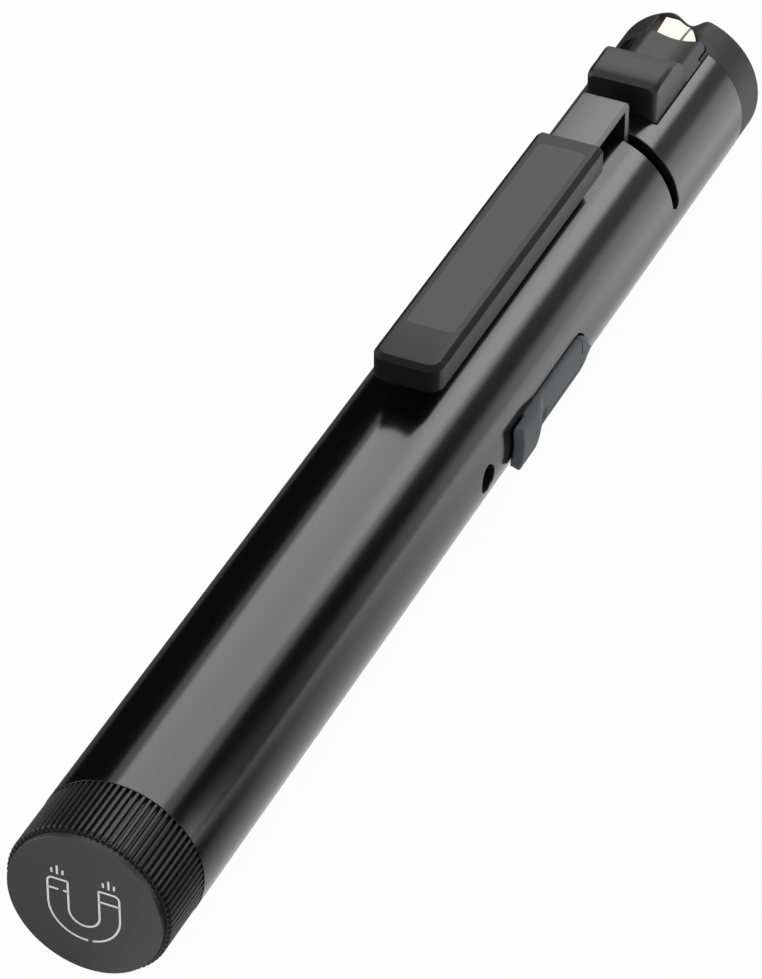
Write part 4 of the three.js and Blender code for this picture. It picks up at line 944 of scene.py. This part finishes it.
class TORCH_OT_head(bpy.types.Operator):
    """Head: push button with its block and trough, bezel, ears and lit side window"""
    bl_idname = "torch.head"
    bl_label = "Head"

    def execute(self, context):
        sizes = context.scene.torch_head
        button = loft("thumb_button", [button_rings()], sharp=24.0)
        soften(button, sizes.bevel / MM, 40.0)
        charcoal = moulded("charcoal_button", sizes.colour, 0.4, drift=0.07, spread=0.04, cloud=5.0,
                           grain=0.12, depth=0.0015, specular=0.29)
        dress(button, charcoal, "button", "charcoal_plastic", "button_tongue")
        # Painted light from the window on the button and on the bezel beside it.
        paint_window_glow(charcoal, sizes.glow, middle=-0.3, wide=2.6, tail=135.95, head=136.2)
        matte = moulded("charcoal_bezel", shade(sizes.colour, 2.0), 0.5, drift=0.08, spread=0.04, cloud=5.0,
                        grain=0.12, depth=0.002, specular=0.24)
        paint_window_glow(matte, sizes.glow, middle=-2.65, wide=0.6, tail=136.2, head=138.9)
        bezel = loft("head_ring", [bezel_rings()], wrap=True, sharp=50.0)
        dress(bezel, matte, "torch_body", "charcoal_plastic", "head_bezel")
        ears = loft("head_ring_ears", [ear_rings(-1.0), ear_rings(1.0)])
        dress(ears, matte, "torch_body", "charcoal_plastic")
        window = loft("side_window", [window_rings()])
        dress(window, lit_window(sizes.glow), "torch_body", "lit_window", "side_light_window")
        return {"FINISHED"}


# Port cover.
def cover_rings(tail, head, low, high, tab):
    """Rings of a cover plate on the tube: its outline carried up the edge, then inwards over the curved top.

    The top lies at one radius and climbs in a ramp to the pull tab.
    """
    half = COVER_HALF_WIDTH

    def outline(inset):
        return rounded_outline(-half + inset, half - inset, tail + inset, head - inset,
                               max(low - inset, 0.02), max(high - inset, 0.02), along_u=9, along_v=60)

    levels = [(-1.0, 0.0), (-0.16, 0.0), (-0.05, 0.05), (0.0, 0.18)]
    levels += [(0.0, inset) for inset in np.linspace(0.4, half - 0.03, 8)]
    rings = []
    for drop, inset in levels:
        shape = outline(inset)
        along = shape[:, 1]
        ramp = np.clip((along - TAB_END - TAB_FLAT) / TAB_RAMP, 0.0, 1.0)
        raised = (TAB_TOP - COVER_TOP) * (1.0 - 0.5 * ramp - 0.5 * smooth(0.0, 1.0, ramp)) * tab
        under = np.where((along < COVER_TAIL) & (tab > 0), BODY_RADIUS + 0.22, COVER_INNER)
        radius = under if drop <= -1.0 else COVER_TOP + raised + drop
        rings.append(polar(radius, PORT_ANGLE + shape[:, 0] / BODY_RADIUS, along))
    return np.stack(rings)


def cover_line(width):
    """Rings of the dark line sunk along the cover's lower side, its dark colour painted shade of a groove: a
    thin strip carried along the tube.
    """
    along = np.linspace(TAB_END + TAB_FLAT + TAB_RAMP + 0.2, COVER_HINGE - 0.9, 12)
    place = PORT_ANGLE + 1.05 / BODY_RADIUS
    half = 0.5 * width / BODY_RADIUS
    radius = COVER_TOP + np.array([-0.05, 0.01, 0.013, 0.01, -0.05])
    angle = place + np.array([-half, -half, 0.0, half, half])
    return polar(radius[None, :], angle[None, :], along[:, None])


def plug_rings():
    """Rings of the plug under the flap: a rounded bar that enters the socket."""
    half_long, half_wide, corner = 3.9, 1.2, 0.84
    plan = rounded_outline(-half_wide, half_wide, COVER_PLUG - half_long, COVER_PLUG + half_long, corner,
                           corner)
    out = np.array([math.sin(PORT_ANGLE), 0.0, math.cos(PORT_ANGLE)])
    side = np.array([math.cos(PORT_ANGLE), 0.0, -math.sin(PORT_ANGLE)])
    flat = plan[:, 0, None] * side + plan[:, 1, None] * np.array([0.0, 1.0, 0.0])
    middle = np.array([0.0, COVER_PLUG, 0.0])
    levels = ((6.0, 0.93), (6.15, 1.0), (COVER_INNER + 0.3, 1.0))
    return np.stack([flat * share + (1.0 - share) * middle + out * depth for depth, share in levels])


class TORCH_OT_port(bpy.types.Operator):
    """Port cover: rubber flap with its pull tab and plug, and the fixed end that holds it"""
    bl_idname = "torch.port"
    bl_label = "Port cover"

    def execute(self, context):
        sizes = context.scene.torch_port
        rubber = moulded("cover_rubber_soft", sizes.colour, 0.62, drift=0.08, spread=0.06, cloud=3.0,
                         grain=0.1, depth=0.006)
        flap = loft("port_flap_rubber", [cover_rings(TAB_END, COVER_HINGE, 0.5, 0.1, 1.0), plug_rings()],
                    sharp=50.0)
        dress(flap, rubber, "port_flap", "cover_rubber", "port_cover_flap")
        line = loft("port_flap_line", [cover_line(sizes.groove / MM)])
        # The line's near-black colour is painted shade of a groove.
        dark = moulded("cover_line_painted_shade", shade(sizes.colour, 0.12), 0.7, drift=0.1, spread=0.05, cloud=2.0)
        dress(line, dark, "port_flap", "cover_rubber")
        anchor = loft("port_cover_fixed_end", [cover_rings(COVER_HINGE + 0.03, COVER_HEAD, 0.1, 1.6, 0.0)],
                      sharp=50.0)
        dress(anchor, rubber, "torch_body", "cover_rubber", "port_cover_anchor")
        return {"FINISHED"}


# Lamp.
def reflector_rings():
    """Rings of the reflector: a bowl whose radius grows with the square root of the place, inside and out."""
    low, high = span("reflector")
    outer = reach("reflector")
    share = np.linspace(0.0, 1.0, 28) ** 1.6
    inner = 1.8 + (outer - 0.5 - 1.8) * np.sqrt(share)
    along = low[1] + (high[1] - low[1]) * share
    inside = np.stack([inner, along], axis=-1)
    outside = np.stack([inner + 0.5, along], axis=-1)[::-1]
    return turned(np.concatenate([inside, outside]), 120)


def lens_rings():
    """Rings of the front lens: a flat disc with rounded edges."""
    low, high = span("front_lens")
    radius = reach("front_lens")
    edge = 0.12
    profile = [(0.05, low[1]), (0.5 * radius, low[1]), *quarter(radius - edge, low[1] + edge, edge, -90, 0),
               *quarter(radius - edge, high[1] - edge, edge, 0, 90), (0.5 * radius, high[1]), (0.05, high[1])]
    return turned(profile, 120)


def mirror_finish(colour):
    """Bright mirror with faint turned rings in its roughness."""
    finish = Finish("reflector_bright")
    rings = finish.noise(0.5, 2.0, stretch=(0.15, 3.0, 0.15))
    finish.join(finish.blend(rings, shade(colour, 0.95), shade(colour, 1.04)), "Base Color")
    finish.join(finish.span(rings, 0.06, 0.16), "Roughness")
    finish.set("Metallic", 1.0)
    return finish


def glass_finish(colour):
    """Clear glass, tinted a little, with hardly any haze."""
    finish = Finish("lens_clear")
    haze = finish.noise(2.0)
    finish.join(finish.blend(haze, shade(colour, 1.02), shade(colour, 1.08)), "Base Color")
    finish.join(finish.span(haze, 0.0, 0.03), "Roughness")
    finish.set("Transmission Weight", 1.0)
    finish.set("IOR", 1.5)
    return finish


class TORCH_OT_lamp(bpy.types.Operator):
    """Lamp: reflector bowl and clear front lens"""
    bl_idname = "torch.lamp"
    bl_label = "Lamp"

    def execute(self, context):
        colours = record_colours()
        bowl = loft("reflector_bowl", [reflector_rings()], wrap=True, sharp=50.0)
        dress(bowl, mirror_finish(colours["reflector_mirror"]), "torch_body", "reflector_mirror", "reflector")
        lens = loft("front_glass", [lens_rings()], sharp=50.0)
        dress(lens, glass_finish(colours["lens_glass"]), "torch_body", "lens_glass", "front_lens")
        return {"FINISHED"}


# Carried-over frame nodes.
INNER_FINISHES = {
    "nickel": {"roughness": 0.2, "metallic": 1.0, "grain": 0.3, "depth": 0.001},
    "steel": {"roughness": 0.28, "metallic": 1.0, "grain": 0.2, "depth": 0.001},
    "bare_aluminium": {"roughness": 0.36, "metallic": 1.0, "grain": 0.15, "depth": 0.003},
    "seal_rubber": {"roughness": 0.7, "grain": 0.1, "depth": 0.004, "specular": 0.3},
    "cell": {"roughness": 0.3, "cloud": 9.0, "depth": 0.001},
    "sleeve_plastic": {"roughness": 0.5, "cloud": 12.0},
    "circuit_board": {"roughness": 0.35, "drift": 0.25, "cloud": 1.2, "grain": 0.25, "depth": 0.01},
    "white_board": {"roughness": 0.45, "drift": 0.06, "cloud": 1.5},
    "black_plastic": {"roughness": 0.3, "depth": 0.001},
    "led_body": {"roughness": 0.16, "drift": 0.08, "cloud": 0.8, "depth": 0.001},
    "red_wire": {"roughness": 0.45, "cloud": 2.0},
    "black_wire": {"roughness": 0.45, "cloud": 2.0},
}
BLACKENED = ("clip_ring", "clip_core", "clip_circlip")


class TORCH_OT_inside(bpy.types.Operator):
    """Inner pieces: a finish for every frame node that keeps its own shape"""
    bl_idname = "torch.inside"
    bl_label = "Inner pieces"

    def execute(self, context):
        colours = record_colours()
        finishes = {slot: moulded("inner_" + slot, colours[slot], **looks)
                    for slot, looks in INNER_FINISHES.items()}
        blackened = moulded("blackened_metal", context.scene.torch_tube.colour, 0.55, drift=0.2, spread=0.08,
                            cloud=2.0, depth=0.002, specular=0.15)
        for part in frame["record"]["subparts"]:
            node = frame["nodes"][part["node"]]
            if node.hide_render:
                continue
            finish = blackened if part["node"] in BLACKENED else finishes[part["material_slot"]]
            node.data.materials.clear()
            node.data.materials.append(finish.material)
        return {"FINISHED"}


# Stage.
CAMERA_PLACE = (0.16365, -0.29921, 0.31460)
CAMERA_AZIMUTH = math.radians(24.38)
CAMERA_ELEVATION = math.radians(38.34)
CAMERA_LENS = 197.55
MIDDLE = (0.0, 0.07, 0.0)
FLOOR_DROP = 0.00005
FLOOR_HALF = 3.0
FLAG_LIFT = 0.0005
LEFT_FLAG = -0.3
FLOOR_FLAG = -0.036
RIGHT_WALL = 0.12
SIGHT = ("Is Camera Ray", "Is Glossy Ray", "Is Transmission Ray")


def card(name, finish, corners):
    """A flat four-cornered stage card."""
    mesh = bpy.data.meshes.new(name)
    mesh.from_pydata(corners, [], [(0, 1, 2, 3)])
    mesh.materials.append(finish.material)
    piece = bpy.data.objects.new(name, mesh)
    bpy.context.scene.collection.objects.link(piece)
    return piece


def reflected_card(name, finish, corners):
    """A stage card that glossy rays alone can see."""
    piece = card(name, finish, corners)
    piece.visible_camera = False
    piece.visible_diffuse = False
    piece.visible_shadow = False
    piece.visible_transmission = False


def upright(x, tail, head, low, high):
    """Corners of an upright card beside the torch."""
    return [(x, tail, low), (x, head, low), (x, head, high), (x, tail, high)]


def soft_light(name, watts, place, target, wide, tall):
    """A rectangular soft light at a place, turned to a target."""
    lamp = bpy.data.lights.new(name, "AREA")
    lamp.shape = "RECTANGLE"
    lamp.size = wide
    lamp.size_y = tall
    lamp.energy = watts
    light = bpy.data.objects.new(name, lamp)
    light.location = place
    aim = np.array(target) - np.array(place)
    azimuth = math.atan2(aim[1], aim[0]) - math.pi / 2
    light.rotation_euler = (math.acos(-aim[2] / np.linalg.norm(aim)), 0.0, azimuth)
    bpy.context.scene.collection.objects.link(light)


def dull(name, colour):
    """A finish without any gloss."""
    finish = Finish(name)
    finish.set("Base Color", (*colour, 1.0))
    finish.set("Roughness", 1.0)
    finish.set("Specular IOR Level", 0.0)
    return finish


def floor_finish(colour):
    """Pale floor: white to the camera with the object's soft shadow in it, and shaded in reflections.

    In a reflection the floor is dark under the object's left side, and to its right it grows from dim at the
    tail to bright at the head.
    """
    finish = dull("pale_floor", colour)
    place = finish.axes()
    path = finish.nodes.new("ShaderNodeLightPath").outputs
    away = finish.span(place["X"], 0.0, 1.0, 0.012, 0.033)
    slope = finish.combine("ADD", finish.span(place["Y"], -1.2, 3.6, 0.0, 0.2),
                           finish.span(place["X"], 0.0, -1.2, 0.0, 0.1))
    near = finish.combine("MULTIPLY", finish.span(place["X"], 0.0, 1.0, 0.0105, 0.018),
                          finish.span(place["Y"], 0.0, 0.4, 0.04, 0.13))
    level = finish.combine("ADD", finish.combine("MULTIPLY", away, slope), near, 0.85)
    level = finish.combine("MINIMUM", finish.combine("MAXIMUM", level, 0.05), 2.2)
    sides = finish.combine("MAXIMUM", finish.span(place["X"], 0.1, 1.0, -0.002, 0.004),
                           finish.span(place["X"], 1.0, 0.1, -0.06, FLOOR_FLAG))
    plain = finish.combine("SUBTRACT", 1.0, path["Is Glossy Ray"])
    strength = finish.combine("ADD", plain, finish.combine("MULTIPLY", level, sides, path["Is Glossy Ray"]))
    seen = finish.combine("MAXIMUM", *[path[ray] for ray in SIGHT])
    mix = finish.nodes.new("ShaderNodeMixShader")
    finish.links.new(finish.combine("MULTIPLY", seen, 0.97), mix.inputs["Fac"])
    finish.links.new(finish.shader.outputs["BSDF"], mix.inputs[1])
    finish.links.new(finish.shine(strength), mix.inputs[2])
    finish.show(mix.outputs["Shader"])
    return finish


def wall_finish():
    """Grey wall at the right: a dim upper part over a brighter lower part, both growing towards the head."""
    finish = Finish("right_wall")
    place = finish.axes()
    high = finish.span(place["Z"], 0.0, 1.0, 0.02, 0.045)
    upper = finish.combine("MULTIPLY", high, finish.span(place["Y"], 0.0, 0.55, 0.18, 0.27))
    low = finish.combine("SUBTRACT", 1.0, high)
    lower = finish.combine("MULTIPLY", low, finish.span(place["Y"], 0.05, 1.9, 0.12, 0.23))
    finish.show(finish.shine(finish.combine("ADD", upper, lower)))
    return finish


class TORCH_OT_stage(bpy.types.Operator):
    """Stage: pale floor, soft lights, flags, even world light and the camera"""
    bl_idname = "torch.stage"
    bl_label = "Stage"

    def execute(self, context):
        sizes = context.scene.torch_stage
        level = CAD_BOX[0][2] - FLOOR_DROP
        half = FLOOR_HALF
        card("floor", floor_finish(sizes.floor),
             [(-half, -half, level), (half, -half, level), (half, half, level), (-half, half, level)])
        flag = dull("black_flag", (0.0, 0.0, 0.0))
        above = level + FLAG_LIFT
        reflected_card("left_flag", flag, upright(LEFT_FLAG, 0.2, 0.6, level, 0.31))
        reflected_card("left_floor_flag", flag, [(FLOOR_FLAG, 0.03, above), (FLOOR_FLAG, 0.19, above),
                                                 (LEFT_FLAG, 0.5, above), (LEFT_FLAG, 0.2, above)])
        reflected_card("right_wall", wall_finish(), upright(RIGHT_WALL, 0.11, 0.6, level, 0.11))
        soft_light("key", sizes.key_power, (0.015, 0.50, 0.42), (0.015, 0.07, 0.0), wide=0.58, tall=0.4)
        soft_light("low_key", sizes.low_key_power, (0.255, 0.57, 0.345), (0.255, 0.14, -0.075), wide=0.21,
                   tall=0.18)
        soft_light("side", sizes.side_power, (0.5, 0.25, 0.12), MIDDLE, wide=0.4, tall=0.2)
        soft_light("left", sizes.left_power, (-0.5, 0.05, 0.18), MIDDLE, wide=0.4, tall=0.25)
        soft_light("front", sizes.front_power, (0.1, -0.6, 0.25), MIDDLE, wide=0.5, tall=0.4)
        self.light_world(context.scene, sizes.ambient)
        self.place_camera(context.scene)
        context.scene.view_settings.view_transform = "Standard"
        return {"FINISHED"}

    def light_world(self, scene, ambient):
        """Even pale world: white where the camera, gloss or glass looks at it, dimmer as a light."""
        world = bpy.data.worlds.new("studio")
        scene.world = world
        world.use_nodes = True
        work = NodeWork(world.node_tree)
        background = work.nodes["Background"]
        background.inputs["Color"].default_value = (1.0, 1.0, 1.0, 1.0)
        path = work.nodes.new("ShaderNodeLightPath").outputs
        strength = work.combine("MAXIMUM", *[path[ray] for ray in SIGHT], ambient)
        work.links.new(strength, background.inputs["Strength"])

    def place_camera(self, scene):
        """Long lens at the photograph's viewing angle."""
        lens = bpy.data.cameras.new("camera")
        lens.sensor_width = 36.0
        lens.lens = CAMERA_LENS
        lens.clip_start = 0.01
        camera = bpy.data.objects.new("camera", lens)
        camera.location = CAMERA_PLACE
        camera.rotation_euler = (math.pi / 2 - CAMERA_ELEVATION, 0.0, CAMERA_AZIMUTH)
        scene.collection.objects.link(camera)
        scene.camera = camera


OPERATORS = (TORCH_OT_tube, TORCH_OT_tail, TORCH_OT_clip, TORCH_OT_head, TORCH_OT_port, TORCH_OT_lamp,
             TORCH_OT_inside, TORCH_OT_stage)
SETTINGS = (("torch_tube", TubeSettings), ("torch_tail", TailSettings), ("torch_clip", ClipSettings),
            ("torch_head", HeadSettings), ("torch_port", PortSettings), ("torch_stage", StageSettings))


class TORCH_PT_pieces(bpy.types.Panel):
    """Sidebar list of the torch's pieces"""
    bl_idname = "TORCH_PT_pieces"
    bl_label = "Pocket Torch"
    bl_space_type = "VIEW_3D"
    bl_region_type = "UI"
    bl_category = "Torch"

    def draw(self, context):
        for operator in OPERATORS:
            self.layout.operator(operator.bl_idname)


def register():
    """Adds the settings, operators and panel."""
    for name, settings in SETTINGS:
        bpy.utils.register_class(settings)
        setattr(bpy.types.Scene, name, PointerProperty(type=settings))
    for operator in OPERATORS:
        bpy.utils.register_class(operator)
    bpy.utils.register_class(TORCH_PT_pieces)


def unregister():
    """Takes the settings, operators and panel away."""
    bpy.utils.unregister_class(TORCH_PT_pieces)
    for operator in reversed(OPERATORS):
        bpy.utils.unregister_class(operator)
    for name, settings in reversed(SETTINGS):
        delattr(bpy.types.Scene, name)
        bpy.utils.unregister_class(settings)


def main():
    """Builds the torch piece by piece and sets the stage."""
    register()
    bpy.ops.torch.tube()
    bpy.ops.torch.tail()
    bpy.ops.torch.clip()
    bpy.ops.torch.head()
    bpy.ops.torch.port()
    bpy.ops.torch.lamp()
    bpy.ops.torch.inside()
    bpy.ops.torch.stage()


if __name__ == "__main__":
    main()
